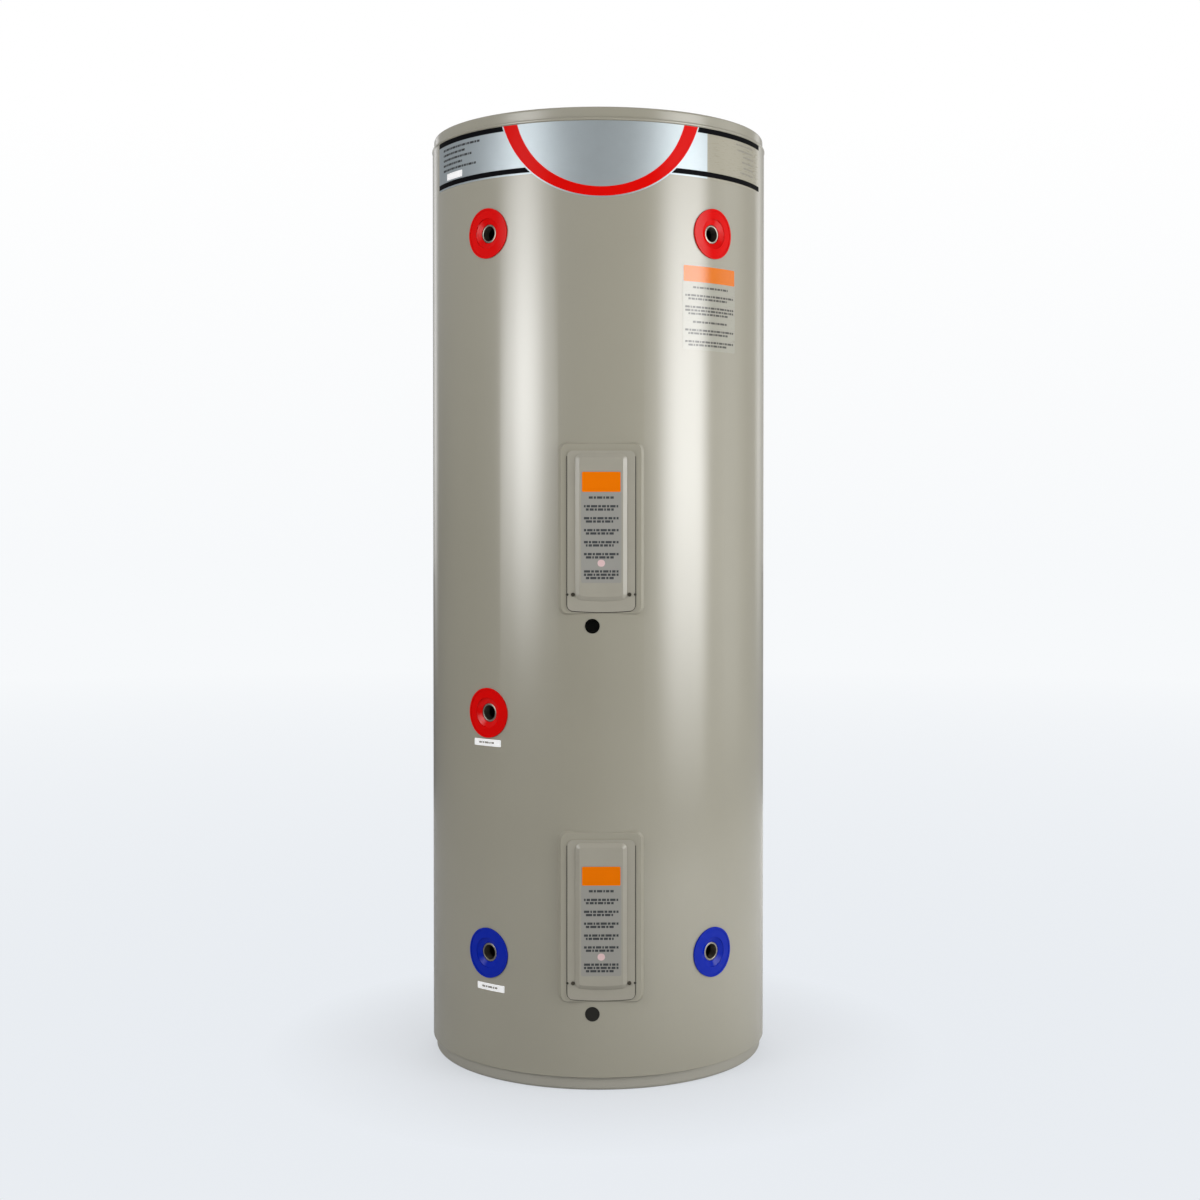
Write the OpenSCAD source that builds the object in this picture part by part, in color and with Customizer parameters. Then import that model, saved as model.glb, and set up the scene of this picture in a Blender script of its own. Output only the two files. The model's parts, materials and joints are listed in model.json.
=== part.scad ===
// Tank water heater: a mains-pressure storage heater with two electric elements.
// Millimetres. The origin is the centre of the footprint on the floor, +Z is up,
// the access covers face -Y, and +X is to the right of someone who faces them.

/* [Casing] */
// Outside diameter of the steel jacket
jacket_d = 640; // [620:1:680]
// Height from the floor to the top of the lid
overall_h = 1743; // [1640:1:1900]
// Sheet thickness of the jacket
jacket_wall = 0.8; // [0.6:0.1:1.2]
// Width of the lock seam down the back of the jacket
seam_w = 8; // [6:1:14]
// How far that seam stands out from the jacket
seam_rise = 0.8; // [0.4:0.1:0.9]
// Foam between the jacket and the tank
side_insulation = 51; // [50:1:60]
// Foam between the tank's top and the lid
top_insulation = 70; // [60:1:100]
// Foam between the tank's bottom and the base pan
base_insulation = 41; // [35:1:60]
// Angle past a port where its foam segment ends
segment_past_port = 20.5; // [15:0.5:25]

/* [Lid] */
// Height of the lid above the jacket's top edge
lid_h = 25; // [21:1:35]
// Sheet thickness of the lid
lid_wall = 1; // [0.8:0.1:1.5]
// How far the lid's side stands in from the jacket
lid_inset = 3; // [2:0.5:6]
// Radius of the lid's top edge
lid_edge_r = 4; // [2:0.5:8]
// Height of the bead that sits on the jacket's top edge
bead_h = 6; // [5:0.5:8]
// How far the bead stands out from the jacket
bead_out = 1; // [1:0.25:2]
// Depth of the collar that goes down inside the jacket
lid_collar_h = 18; // [12:1:30]
// Width of the lid's raised rim
lid_rim_w = 33; // [20:1:60]
// Depth of the panel inside the rim
lid_panel_drop = 3; // [1:0.5:6]

/* [Base pan] */
// Height of the base skirt below the jacket
base_h = 25; // [20:1:40]
// Sheet thickness of the base pan
pan_wall = 1.2; // [0.8:0.1:2]
// How far the skirt stands in from the jacket
skirt_inset = 6.5; // [4:0.5:12]
// Height of the pan's raised floor
pan_rise = 14; // [8:1:16]
// Width of the ring that the heater stands on
foot_w = 70; // [40:1:90]
// Radius of the skirt's lower edge
skirt_edge_r = 6; // [3:0.5:8]
// Height of the collar that goes up inside the jacket
pan_collar_h = 35; // [20:1:60]

/* [Tank] */
// Wall of the tank's barrel and heads
tank_wall = 1.8; // [1.5:0.1:3]
// Knuckle radius of the dished heads
knuckle_r = 54; // [40:1:80]
// Radius of the ring that the tank stands on
stand_r = 203; // [180:1:210]
// Wall of that ring
stand_wall = 3; // [2:0.5:5]

/* [Ports] */
// Angle of the ports from the front
port_az = 39.5; // [35:0.5:60]
// Distance of the upper hot ports from the top
hot_port_drop = 213; // [200:1:320]
// Height of the middle hot port
mid_port_z = 666; // [560:1:780]
// Height of the cold ports
cold_port_z = 231; // [215:1:300]
// Outside diameter of a socket
socket_d = 33.5; // [31:0.5:36]
// Bore of a socket, the minor diameter of a G 3/4 thread
socket_bore_d = 24.12; // [20:0.01:26]
// How far a socket's face lies under the jacket's surface
socket_recess = 4; // [2:0.5:8]
// How far a socket goes through the tank's wall
socket_inside = 6; // [4:1:12]
// Chamfer at a socket's mouth
socket_chamfer = 1.3; // [0.5:0.1:2]

/* [Port rings] */
// Outside diameter of a port ring
ring_d = 90; // [80:1:110]
// Thickness of a port ring on the jacket
ring_t = 2; // [1.5:0.1:3]
// Width of the lip round a port ring
lip_w = 3.5; // [2:0.5:6]
// Height of that lip
lip_rise = 0.8; // [0.4:0.1:1.5]
// Diameter of the cup that goes through the jacket
cup_d = 57.4; // [50:0.1:70]
// Depth of the cup's cone
cup_depth = 4; // [3:0.5:6]
// Wall of the cup
cup_wall = 1.8; // [1.2:0.1:3]
// Length of the collar round the socket
cup_collar_h = 6; // [3:0.5:12]

/* [Water tubes] */
// Outside diameter of the tubes inside the tank
tube_d = 30; // [29:0.5:32]
// Wall of those tubes
tube_wall = 1.5; // [1:0.1:1.8]
// Bend radius of the hot pick-up tubes
pickup_bend_r = 34; // [28:1:50]
// Straight length between a socket and the pick-up's bend
pickup_reach = 24; // [10:1:60]
// How far a pick-up rises into the top head
pickup_rise = 44; // [20:1:50]
// Length of an inlet diffuser
diffuser_len = 90; // [60:1:140]
// Diameter of the holes in a diffuser
diffuser_hole_d = 9; // [6:0.5:12]
// Distance between those holes
diffuser_pitch = 16; // [14:1:24]

/* [Access covers] */
// Height of the upper cover's middle
upper_cover_z = 994; // [900:1:1150]
// Height of the lower cover's middle
lower_cover_z = 305.5; // [300:0.5:380]
// Width of a cover
cover_w = 120; // [112:1:132]
// Height of a cover
cover_h = 285; // [275:1:300]
// Corner radius of a cover
cover_corner_r = 10; // [6:1:16]
// Thickness of a cover's flange
flange_t = 2.4; // [1.8:0.1:3]
// Wall of a cover's raised face
cover_wall = 2.2; // [1.6:0.1:3]
// Width of the raised face at its foot
face_w = 92; // [88:1:96]
// Flange that shows above the raised face
face_top_margin = 5; // [4:0.5:12]
// Flange that shows below the raised face
face_bottom_margin = 19.5; // [15:0.5:24]
// Height of the raised face over the flat that the cover sits on
face_rise = 8; // [7.5:0.1:9]
// Width of the bevel round the face
face_bevel = 7.5; // [5:0.5:8]
// Height of that bevel
face_bevel_h = 4.3; // [3:0.1:4.6]
// Corner radius of the face at its foot
face_corner_r = 11; // [10.8:0.1:14]
// How far the lower edges of a cover and its face bow down
cover_bow = 3; // [1:0.5:5]
// Width of the raised flat that a cover sits on
flat_w = 142; // [138:1:150]
// How far the flat stands out from the jacket's front
flat_rise = 1; // [0.7:0.1:1.5]
// Width of the slope round the flat
flat_slope_w = 6; // [4:0.5:8]
// Corner radius of the flat
flat_corner_r = 12; // [8:1:16]
// Flat below a cover
flat_below = 2; // [1:0.5:5]
// Flat above a cover
flat_above = 12; // [4:1:20]
// Distance between a cover's screws
screw_span = 100; // [98:1:106]
// Height of the screws over the cover's lower edge
screw_up = 31; // [26:1:36]
// Diameter of a screw's head
screw_head_d = 7.2; // [6:0.1:8]
// Diameter of a screw's shank
screw_d = 3.5; // [3:0.1:4.2]

/* [Element compartments] */
// Width of the opening behind a cover
window_w = 84; // [80:1:86]
// Height of the opening behind a cover
window_h = 236; // [230:1:240]
// How far that opening's middle is above the cover's middle
window_up = 6; // [2:1:8]
// Corner radius of the opening
window_corner_r = 8; // [4:1:14]
// Width inside a compartment
liner_w = 86; // [80:1:90]
// Top of a compartment above the cover's middle
liner_up = 126; // [125:1:136]
// Thickness of the plate behind a conduit entry
entry_plate_t = 1.5; // [1:0.1:2]
// Room below a conduit entry's middle in its compartment
entry_room = 16.5; // [15.5:0.5:18]
// Wall of a compartment's liner
liner_wall = 2; // [1.5:0.1:3]
// How far a conduit entry's middle is below the cover's lower edge
conduit_below = 25; // [20:0.5:30]
// Angle of a conduit entry from the front
conduit_az = 2.8; // [0:0.1:4]
// Bore of the conduit grommet
conduit_bore_d = 20.6; // [16:0.1:21]
// Hole for a conduit entry in the jacket
conduit_hole_d = 25.2; // [24:0.1:26]

/* [Heating elements] */
// How far an element is below the cover's middle
element_drop = 62; // [58:1:64]
// Side of the element's square flange
element_side = 62; // [58:1:64]
// Thickness of that flange
element_flange_t = 6; // [4:0.5:8]
// Thickness of the gasket
gasket_t = 2; // [1:0.5:3]
// Thickness of the seat's plate
seat_plate_t = 8; // [6:0.5:10]
// Clearance between the tank and the seat's plate
seat_stand = 4; // [3:0.5:6]
// Bore of the seat
seat_bore_d = 42; // [42:1:46]
// Wall of the seat's neck
seat_neck_wall = 4; // [2:0.5:4]
// Distance between neighbouring bolts
bolt_spacing = 47; // [46:0.5:48]
// Diameter of a bolt
bolt_d = 8; // [6:0.5:8]
// Width across a bolt head's flats
bolt_flats = 13; // [10:0.5:13]
// Height of a bolt head
bolt_head_h = 5.3; // [4:0.1:6]
// Length of the heated loops
element_len = 262; // [200:1:300]
// Diameter of the heated tube
sheath_d = 7; // [6:0.5:8]
// Distance between the terminals
terminal_span = 32; // [30:1:33]

/* [Thermostats] */
// How far a thermostat is above the cover's middle
thermostat_up = 40; // [38:1:44]
// Width of a thermostat
thermostat_w = 42; // [40:1:44]
// Height of a thermostat
thermostat_h = 104; // [100:1:106]
// Depth of the terminal shelves
shelf_depth = 18; // [16:0.5:19]
// Depth of the middle block
block_depth = 29.5; // [27:0.5:30]
// Width of the middle block
block_w = 22; // [21:0.5:22]
// How far the dial is below the thermostat's middle
dial_drop = 26; // [22:1:30]
// Diameter of the dial
dial_d = 21; // [16:0.5:22]
// Thickness of the dial
dial_t = 3.4; // [2:0.1:3.6]
// Diameter of the dial's stem
stem_d = 6; // [4:0.5:8]
// Length of the dial's stem
stem_len = 7; // [5:0.5:9]
// How far the reset button is above the thermostat's middle
button_up = 28; // [24:1:32]
// Diameter of the reset button
button_d = 7; // [5:0.5:8]
// How far the reset button stands out
button_out = 2.5; // [2:0.1:3]
// Travel of the reset button
button_travel = 1.5; // [1:0.1:1.8]
// Thickness of the clip's spring sheet
clip_t = 1; // [0.6:0.1:1.5]

/* [Hidden] */
$fn = 96;
// Clearance between pieces that are fixed to each other
fit_gap = 0.3;
// Radial clearance of the dial's stem and the reset button
running_gap = 0.05;
// Clearance between a cover and its flat
seat_gap = 0.2;
// Overlap that makes a cut run past a face
over = 1;

// Casing
jacket_r = jacket_d / 2;
jacket_top = overall_h - lid_h;
collar_r = jacket_r - jacket_wall - fit_gap;
bead_r = jacket_r + bead_out;
lid_r = jacket_r - lid_inset;
skirt_r = jacket_r - skirt_inset;
foot_r = skirt_r - skirt_edge_r - foot_w;
// The slope between the raised floor and the foot is half again as wide as it is high
floor_r = foot_r - 1.5 * pan_rise;
floor_top = pan_rise + pan_wall;
flare_h = 3;

// Tank
tank_r = jacket_r - jacket_wall - side_insulation;
crown_r = 2 * tank_r;
crown_drop = sqrt(pow(crown_r - knuckle_r, 2) - pow(tank_r - knuckle_r, 2));
head_h = crown_r - crown_drop;
tank_bottom = floor_top + base_insulation + head_h;
tank_top = overall_h - lid_panel_drop - lid_wall - top_insulation - head_h;

// Insulation: segments in three levels, a cap and a base
foam_r = jacket_r - jacket_wall - fit_gap;
foam_cap_z = tank_top + fit_gap;
foam_spigot_z = tank_bottom - 15;
side_az = port_az + segment_past_port;
// Angle that leaves about the fixed clearance between neighbouring segments
seam_az = 0.06;

// Ports
hot_port_z = overall_h - hot_port_drop;
socket_r = socket_d / 2;
socket_face = jacket_r - socket_recess;
socket_start = tank_r - socket_inside;
PORTS = [[-port_az, hot_port_z], [port_az, hot_port_z], [-port_az, mid_port_z],
    [-port_az, cold_port_z], [port_az, cold_port_z]];
ring_r = ring_d / 2;
cup_r = cup_d / 2;
cup_bore_r = socket_r + fit_gap;
ring_seat = 0.1;
tube_r = tube_d / 2;

// Covers: the slope round a flat goes down to a root inside the jacket's own circle
flat_face = jacket_r + flat_rise;
flat_root = sqrt(pow(jacket_r, 2) - pow(flat_w / 2 + flat_slope_w, 2)) - 2;
flat_depth = flat_face - flat_root;
cover_back = flat_face + seat_gap;
cover_face = flat_face + face_rise;
face_draft = 0.4;
COVERS = [upper_cover_z, lower_cover_z];
screw_drop = cover_h / 2 - screw_up;
screw_head_h = 2.2;
screw_len = 9;
rib_h = 30;
rib_t = 2;
rib_reach = 4.4;
rib_z = 78;
notch_r = 2.5;

// Compartments
conduit_drop = cover_h / 2 + conduit_below;
liner_down = conduit_drop + entry_room;
liner_mid = (liner_up - liner_down) / 2;
liner_side = liner_w / 2 + liner_wall + fit_gap;
foam_base_z = lower_cover_z - liner_down - liner_wall - fit_gap;
FOAM_LEVELS = [foam_base_z + fit_gap, (cold_port_z + mid_port_z) / 2,
    (mid_port_z + hot_port_z) / 2, foam_cap_z];
liner_h = liner_up + liner_down;
liner_back = tank_r + fit_gap;
grommet_r = conduit_hole_d / 2 + 0.4;
grommet_neck_r = conduit_hole_d / 2 - 0.2;
grommet_inner_r = conduit_hole_d / 2 + 1.9;
grommet_flange_t = 0.9;
grommet_back = jacket_r - jacket_wall - 0.6;

// Elements
seat_plate = tank_r + seat_stand;
gasket_start = seat_plate + seat_plate_t;
element_start = gasket_start + gasket_t;
element_face = element_start + element_flange_t;
seat_side = element_side + 4;
seat_neck_r = seat_bore_d / 2 + seat_neck_wall;
insulator_h = bolt_head_h + 0.8;
link_t = 1;
link_level = element_face + insulator_h;
terminal_stud_r = 2;
// The tube is folded into four legs, so the terminals are three pitches apart
sheath_pitch = terminal_span / 3;

// Thermostats
thermostat_back = tank_r + fit_gap;
shelf = thermostat_back + shelf_depth;
block_face = thermostat_back + block_depth;
boss_h = 1;
dial_back = block_face + boss_h + fit_gap;
collar_h = 2;
button_face = block_face + collar_h + button_out;
button_start = button_face - 12;
terminal_pitch = 42;
clip_gap = 0.3;
clip_w = terminal_pitch / 2 - 9;
clip_drop = terminal_pitch / 4;
stud_x = 31;
stud_drop = 104;
stud_r = 2.5;

// Puts its children at an angle from the front and a height: their +Z then points
// straight out of the jacket, +Y up, and Z is the distance from the tank's axis.
module at_azimuth(az, z) {
    rotate([0, 0, az]) translate([0, 0, z]) rotate([90, 0, 0]) children();
}

// The vessel's own round form, seen from inside at_azimuth()
module vessel_round(r, h) {
    rotate([90, 0, 0]) cylinder(r = r, h = h, center = true, $fn = 240);
}

// Points of an arc, for the corners of a profile
function arc(centre, r, from, to, steps = 6) =
    [for (i = [0:steps]) let (a = from + (to - from) * i / steps)
        [centre[0] + r * cos(a), centre[1] + r * sin(a)]];

// A flat outline with round corners
module rounded_rect(w, h, r) {
    square([w - 2 * r, h], center = true);
    square([w, h - 2 * r], center = true);
    for (sx = [-1, 1], sy = [-1, 1])
        translate([sx * (w / 2 - r), sy * (h / 2 - r)]) circle(r = r, $fn = 48);
}

// A slab of that outline from one distance to another
module slab(w, h, r, from, to) {
    translate([0, 0, from]) linear_extrude(to - from) rounded_rect(w, h, r);
}

// A round bar, or a hole, from one distance to another
module bar(r, from, to, facets = 48) {
    translate([0, 0, from]) cylinder(r = r, h = to - from, $fn = facets);
}

// ---------------------------------------------------------------- casing

// A flat that the press raises, with a slope all round. An inset moves the flat and
// its slope in by the same thickness.
module flat_form(z, inset) {
    r = flat_corner_r - inset * (norm([flat_depth, flat_slope_w]) - flat_slope_w) / flat_depth;
    x = flat_w / 2 - flat_corner_r;
    low = -cover_h / 2 - flat_below + flat_corner_r;
    high = cover_h / 2 + flat_above - flat_corner_r;
    at_azimuth(0, z) hull() for (side = [-1, 1], y = [low, high])
        translate([side * x, y, flat_root - inset])
            cylinder(r1 = r + flat_slope_w, r2 = r, h = flat_depth, $fn = 32);
}

// The jacket's round form with its raised flats, drawn in by an inset
module jacket_form(inset, from, to) {
    translate([0, 0, from]) cylinder(r = jacket_r - inset, h = to - from, $fn = 240);
    for (z = COVERS) if (z > from && z < to) flat_form(z, inset);
}

// Rolled steel sheet, closed by a lock seam at the back
module jacket() {
    color([0.60, 0.585, 0.535]) difference() {
        union() {
            jacket_form(0, base_h, jacket_top);
            translate([-seam_w / 2, jacket_r - seam_rise, base_h])
                cube([seam_w, 2 * seam_rise, jacket_top - base_h]);
        }
        jacket_form(jacket_wall, base_h - over, jacket_top + over);
        for (p = PORTS) at_azimuth(p[0], p[1]) bar(cup_r + 0.5, jacket_r - 20, jacket_r + 20);
        for (z = COVERS) {
            at_azimuth(0, z + window_up)
                slab(window_w, window_h, window_corner_r, flat_face - 8, flat_face + 8);
            at_azimuth(0, z - screw_drop) for (side = [-1, 1]) translate([side * screw_span / 2, 0])
                bar(screw_d / 2 + 0.4, flat_face - 8, flat_face + over);
            at_azimuth(-conduit_az, z - conduit_drop)
                bar(conduit_hole_d / 2, jacket_r - 10, jacket_r + 10);
        }
    }
}

// The outside of the pan, from its middle to the top of its collar
function pan_outer() = concat(
    [[0, pan_rise], [floor_r, pan_rise], [foot_r, 0]],
    arc([skirt_r - skirt_edge_r, skirt_edge_r], skirt_edge_r, 270, 360),
    [[skirt_r, base_h - flare_h], [collar_r, base_h], [collar_r, base_h + pan_collar_h]]);

// The inside of the pan, or the same line with a clearance over it
function pan_inner(gap = 0) = let (t = pan_wall + gap) concat(
    [[0, pan_rise + t], [floor_r + t / 2, pan_rise + t], [foot_r + t / 2, t]],
    arc([skirt_r - skirt_edge_r, skirt_edge_r], skirt_edge_r - t, 270, 360),
    [[skirt_r - t, base_h - flare_h + t / 2], [collar_r - t, base_h + t / 2],
        [collar_r - t, base_h + pan_collar_h + gap]]);

function reversed(points) = [for (i = [len(points) - 1:-1:0]) points[i]];

// Pressed pan: a raised floor, the ring that it stands on, the skirt and a collar
module base_pan() {
    color([0.56, 0.545, 0.50]) rotate_extrude($fn = 240)
        polygon(concat(pan_outer(), reversed(pan_inner())));
}

// The outside of the lid, from its middle to the bottom of its collar
function lid_outer() = concat(
    [[0, overall_h - lid_panel_drop], [lid_r - lid_rim_w - lid_panel_drop, overall_h - lid_panel_drop],
        [lid_r - lid_rim_w, overall_h]],
    arc([lid_r - lid_edge_r, overall_h - lid_edge_r], lid_edge_r, 90, 0),
    [[lid_r, jacket_top + bead_h]],
    arc([bead_r - bead_h / 2, jacket_top + bead_h / 2], bead_h / 2, 90, -90, 10),
    [[collar_r, jacket_top], [collar_r, jacket_top - lid_collar_h]]);

// The inside of the lid, or the same line with a clearance under it
function lid_inner(gap = 0) = let (t = lid_wall + gap) concat(
    [[0, overall_h - lid_panel_drop - t],
        [lid_r - lid_rim_w - lid_panel_drop + t / 2, overall_h - lid_panel_drop - t],
        [lid_r - lid_rim_w + t / 2, overall_h - t]],
    arc([lid_r - lid_edge_r, overall_h - lid_edge_r], max(lid_edge_r - t, 0.2), 90, 0),
    [[lid_r - t, jacket_top + bead_h / 2 + 1], [collar_r - t, jacket_top + bead_h / 2 - 1],
        [collar_r - t, jacket_top - lid_collar_h - gap]]);

// Pressed lid: a rim round a shallow panel, a rolled bead, and a collar in the jacket
module lid() {
    color([0.60, 0.585, 0.535]) rotate_extrude($fn = 240)
        polygon(concat(lid_outer(), reversed(lid_inner())));
}

// ---------------------------------------------------------------- tank

// Half the section of a dished head above its tangent line: a crown and a knuckle.
// As a cutting form it starts a little below that line, inside the barrel's form.
module head_section(grow, below = 0) {
    lean = asin((tank_r - knuckle_r) / (crown_r - knuckle_r));
    reach = crown_r + 50;
    intersection() {
        union() {
            intersection() {
                translate([0, -crown_drop]) circle(r = crown_r + grow, $fn = 720);
                polygon([[0, -crown_drop], [0, reach], [reach * tan(lean), reach - crown_drop]]);
            }
            translate([tank_r - knuckle_r, 0]) circle(r = knuckle_r + grow, $fn = 240);
        }
        translate([0, -below]) square([reach, reach]);
    }
}

// A head's solid form, its outside drawn out by grow
module head_form(grow) {
    rotate_extrude($fn = 240) head_section(grow, over);
}

module head_shell() {
    color([0.72, 0.73, 0.74]) rotate_extrude($fn = 240) difference() {
        head_section(0);
        head_section(-tank_wall);
    }
}

module tank_top_head() {
    translate([0, 0, tank_top]) head_shell();
}

module tank_bottom_head() {
    translate([0, 0, tank_bottom]) mirror([0, 0, 1]) head_shell();
}

// Rolled stainless barrel with a hole for each socket and each element
module tank_barrel() {
    color([0.72, 0.73, 0.74]) difference() {
        translate([0, 0, tank_bottom]) cylinder(r = tank_r, h = tank_top - tank_bottom, $fn = 240);
        translate([0, 0, tank_bottom - over])
            cylinder(r = tank_r - tank_wall, h = tank_top - tank_bottom + 2 * over, $fn = 240);
        for (p = PORTS) at_azimuth(p[0], p[1]) bar(socket_r + 0.1, tank_r - 20, tank_r + 20);
        for (z = COVERS) at_azimuth(0, z - element_drop) bar(seat_neck_r + 0.1, tank_r - 20, tank_r + 20);
    }
}

// Steel ring between the base pan and the bottom head
module tank_stand_ring() {
    color([0.35, 0.36, 0.38]) difference() {
        translate([0, 0, floor_top]) cylinder(r = stand_r, h = tank_bottom - floor_top, $fn = 180);
        translate([0, 0, floor_top - over])
            cylinder(r = stand_r - stand_wall, h = tank_bottom + over, $fn = 180);
        translate([0, 0, tank_bottom]) mirror([0, 0, 1]) head_form(0.1);
    }
}

// A moulded segment's form between two angles from the front, and two heights
module foam_arc(from_az, to_az, low, high) {
    rotate([0, 0, from_az - 90]) rotate_extrude(angle = to_az - from_az, $fn = 240)
        translate([tank_r + fit_gap, low]) square([foam_r - tank_r - fit_gap, high - low]);
}

// What a port and its ring need of the foam
module foam_port_cut(p) {
    at_azimuth(p[0], p[1]) {
        bar(socket_r + fit_gap, tank_r - 20, jacket_r);
        bar(cup_r + 1, socket_face - cup_collar_h - cup_depth, jacket_r + over);
    }
}

// The foam that backs the raised flats, from one side to another and between two heights
module foam_flats(left, right, low, high) {
    face = flat_face - jacket_wall - fit_gap;
    half = flat_w / 2 - jacket_wall / 2 - 2 * fit_gap;
    end = flat_corner_r + 2;
    for (z = COVERS) {
        from = max(low + over, z - cover_h / 2 - flat_below + end);
        to = min(high - over, z + cover_h / 2 + flat_above - end);
        if (to > from) translate([0, 0, from]) linear_extrude(to - from) intersection() {
            polygon([[-half, -face], [half, -face], [half + flat_slope_w, flat_depth - face],
                [-half - flat_slope_w, flat_depth - face]]);
            translate([left, -flat_face]) square([right - left, flat_face]);
        }
    }
}

// One segment beside the compartments: the ports in it and the screws are cut out
module foam_front_segment(side, low, high) {
    difference() {
        union() {
            foam_arc(side > 0 ? 0 : -side_az + seam_az, side > 0 ? side_az - seam_az : 0, low, high);
            foam_flats(side > 0 ? 0 : -flat_w, side > 0 ? flat_w : 0, low, high);
        }
        translate([side > 0 ? -over : -liner_side, -flat_face - over, low - over])
            cube([liner_side + over, flat_face, high - low + 2 * over]);
        for (z = COVERS) if (z + cover_h > low && z - cover_h < high)
            at_azimuth(0, z - screw_drop) translate([side * screw_span / 2, 0])
                bar(screw_d / 2 + 1, cover_back + flange_t - screw_len - 1, flat_face);
        for (p = PORTS) if (p[1] > low && p[1] < high && p[0] * side > 0) foam_port_cut(p);
    }
}

// The strips of foam above each compartment
module foam_front_strip(low, high) {
    half = liner_side - fit_gap;
    intersection() {
        union() {
            foam_arc(-30, 30, low, high);
            foam_flats(-flat_w, flat_w, low, high);
        }
        translate([-half, -flat_face, low]) cube([2 * half, flat_face, high - low]);
    }
}

// The foam over the tank's top head
module foam_cap() {
    difference() {
        rotate_extrude($fn = 240) polygon(concat([[0, foam_cap_z]], lid_inner(fit_gap),
            [[foam_r, jacket_top - lid_collar_h - fit_gap], [foam_r, foam_cap_z]]));
        translate([0, 0, tank_top]) head_form(fit_gap);
    }
}

// The foam under the tank, with a spigot inside the lowest segments
module foam_base() {
    ring_gap = stand_wall + 2 * fit_gap;
    difference() {
        rotate_extrude($fn = 240) polygon(concat(
            [[0, foam_spigot_z]], pan_inner(fit_gap),
            [[foam_r, base_h + pan_collar_h + fit_gap], [foam_r, foam_base_z],
                [tank_r - 2, foam_base_z], [tank_r - 2, foam_spigot_z]]));
        translate([0, 0, tank_bottom]) mirror([0, 0, 1]) head_form(fit_gap);
        translate([0, 0, floor_top - over]) rotate_extrude($fn = 180)
            translate([stand_r + fit_gap - ring_gap, 0]) square([ring_gap, tank_bottom - floor_top]);
    }
}

// Moulded insulation that fills the space between the tank and the casing
module foam_insulation() {
    color([0.93, 0.85, 0.62]) {
        foam_cap();
        foam_base();
        for (i = [0:2]) {
            low = FOAM_LEVELS[i];
            high = FOAM_LEVELS[i + 1] - fit_gap;
            for (side = [-1, 1]) foam_front_segment(side, low, high);
            foam_arc(side_az, 180 - seam_az, low, high);
            foam_arc(-180, -side_az, low, high);
        }
        foam_front_strip(lower_cover_z + liner_up + liner_wall + fit_gap,
            upper_cover_z - liner_down - liner_wall - fit_gap);
        foam_front_strip(upper_cover_z + liner_up + liner_wall + fit_gap, foam_cap_z - fit_gap);
    }
}

// ---------------------------------------------------------------- ports

// Female pipe socket, welded through the tank's wall
module socket(az, z) {
    color([0.62, 0.62, 0.60]) at_azimuth(az, z) difference() {
        bar(socket_r, socket_start, socket_face, 72);
        bar(socket_bore_d / 2, socket_start - over, socket_face + over, 72);
        translate([0, 0, socket_face - socket_chamfer])
            cylinder(r1 = socket_bore_d / 2, r2 = socket_bore_d / 2 + socket_chamfer + over,
                h = socket_chamfer + over, $fn = 72);
    }
}

// Moulded ring that follows the jacket, with a cup down to the socket
module port_ring(az, z, shade) {
    outer = jacket_r + ring_t;
    seat = jacket_r + ring_seat;
    low = socket_face - cup_collar_h;
    span = 2 * ring_d;
    color(shade) at_azimuth(az, z) {
        difference() {
            intersection() {
                bar(ring_r, jacket_r - 12, jacket_r + 8, 120);
                vessel_round(outer, span);
            }
            vessel_round(seat, span + 2);
            bar(cup_r - cup_wall, jacket_r - 20, jacket_r + 20);
        }
        difference() {
            intersection() {
                bar(ring_r, jacket_r - 12, jacket_r + 8, 120);
                vessel_round(outer + lip_rise, span);
            }
            vessel_round(seat, span + 2);
            bar(ring_r - lip_w, jacket_r - 20, jacket_r + 20, 120);
        }
        intersection() {
            rotate_extrude($fn = 120)
                polygon([[cup_bore_r, low], [cup_bore_r + cup_wall, low],
                    [cup_bore_r + cup_wall, socket_face - cup_wall],
                    [cup_r, socket_face - cup_wall + cup_depth],
                    [cup_r, jacket_r + 8], [cup_r - cup_wall, jacket_r + 8],
                    [cup_r - cup_wall, socket_face + cup_depth],
                    [cup_bore_r, socket_face]]);
            vessel_round(outer, span);
        }
    }
}

// Tube inside the tank that draws the hottest water from under the top head
module hot_pickup(az) {
    turn = socket_start - pickup_reach;
    top = tank_top + pickup_rise;
    rise = hot_port_z + pickup_bend_r;
    color([0.70, 0.71, 0.72]) at_azimuth(az, hot_port_z) difference() {
        union() {
            bar(tube_r, turn, socket_start, 72);
            translate([0, pickup_bend_r, turn]) rotate([0, 90, 0]) rotate([0, 0, -90])
                rotate_extrude(angle = 90, $fn = 96)
                    translate([pickup_bend_r, 0]) circle(r = tube_r, $fn = 72);
            translate([0, pickup_bend_r, turn - pickup_bend_r]) rotate([-90, 0, 0])
                cylinder(r = tube_r, h = top - rise, $fn = 72);
        }
        bar(tube_r - tube_wall, turn, socket_start + over, 72);
        translate([0, pickup_bend_r, turn]) rotate([0, 90, 0]) rotate([0, 0, -90])
            rotate_extrude(angle = 90, $fn = 96)
                translate([pickup_bend_r, 0]) circle(r = tube_r - tube_wall, $fn = 72);
        translate([0, pickup_bend_r, turn - pickup_bend_r]) rotate([-90, 0, 0])
            cylinder(r = tube_r - tube_wall, h = top - rise + over, $fn = 72);
    }
}

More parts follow.
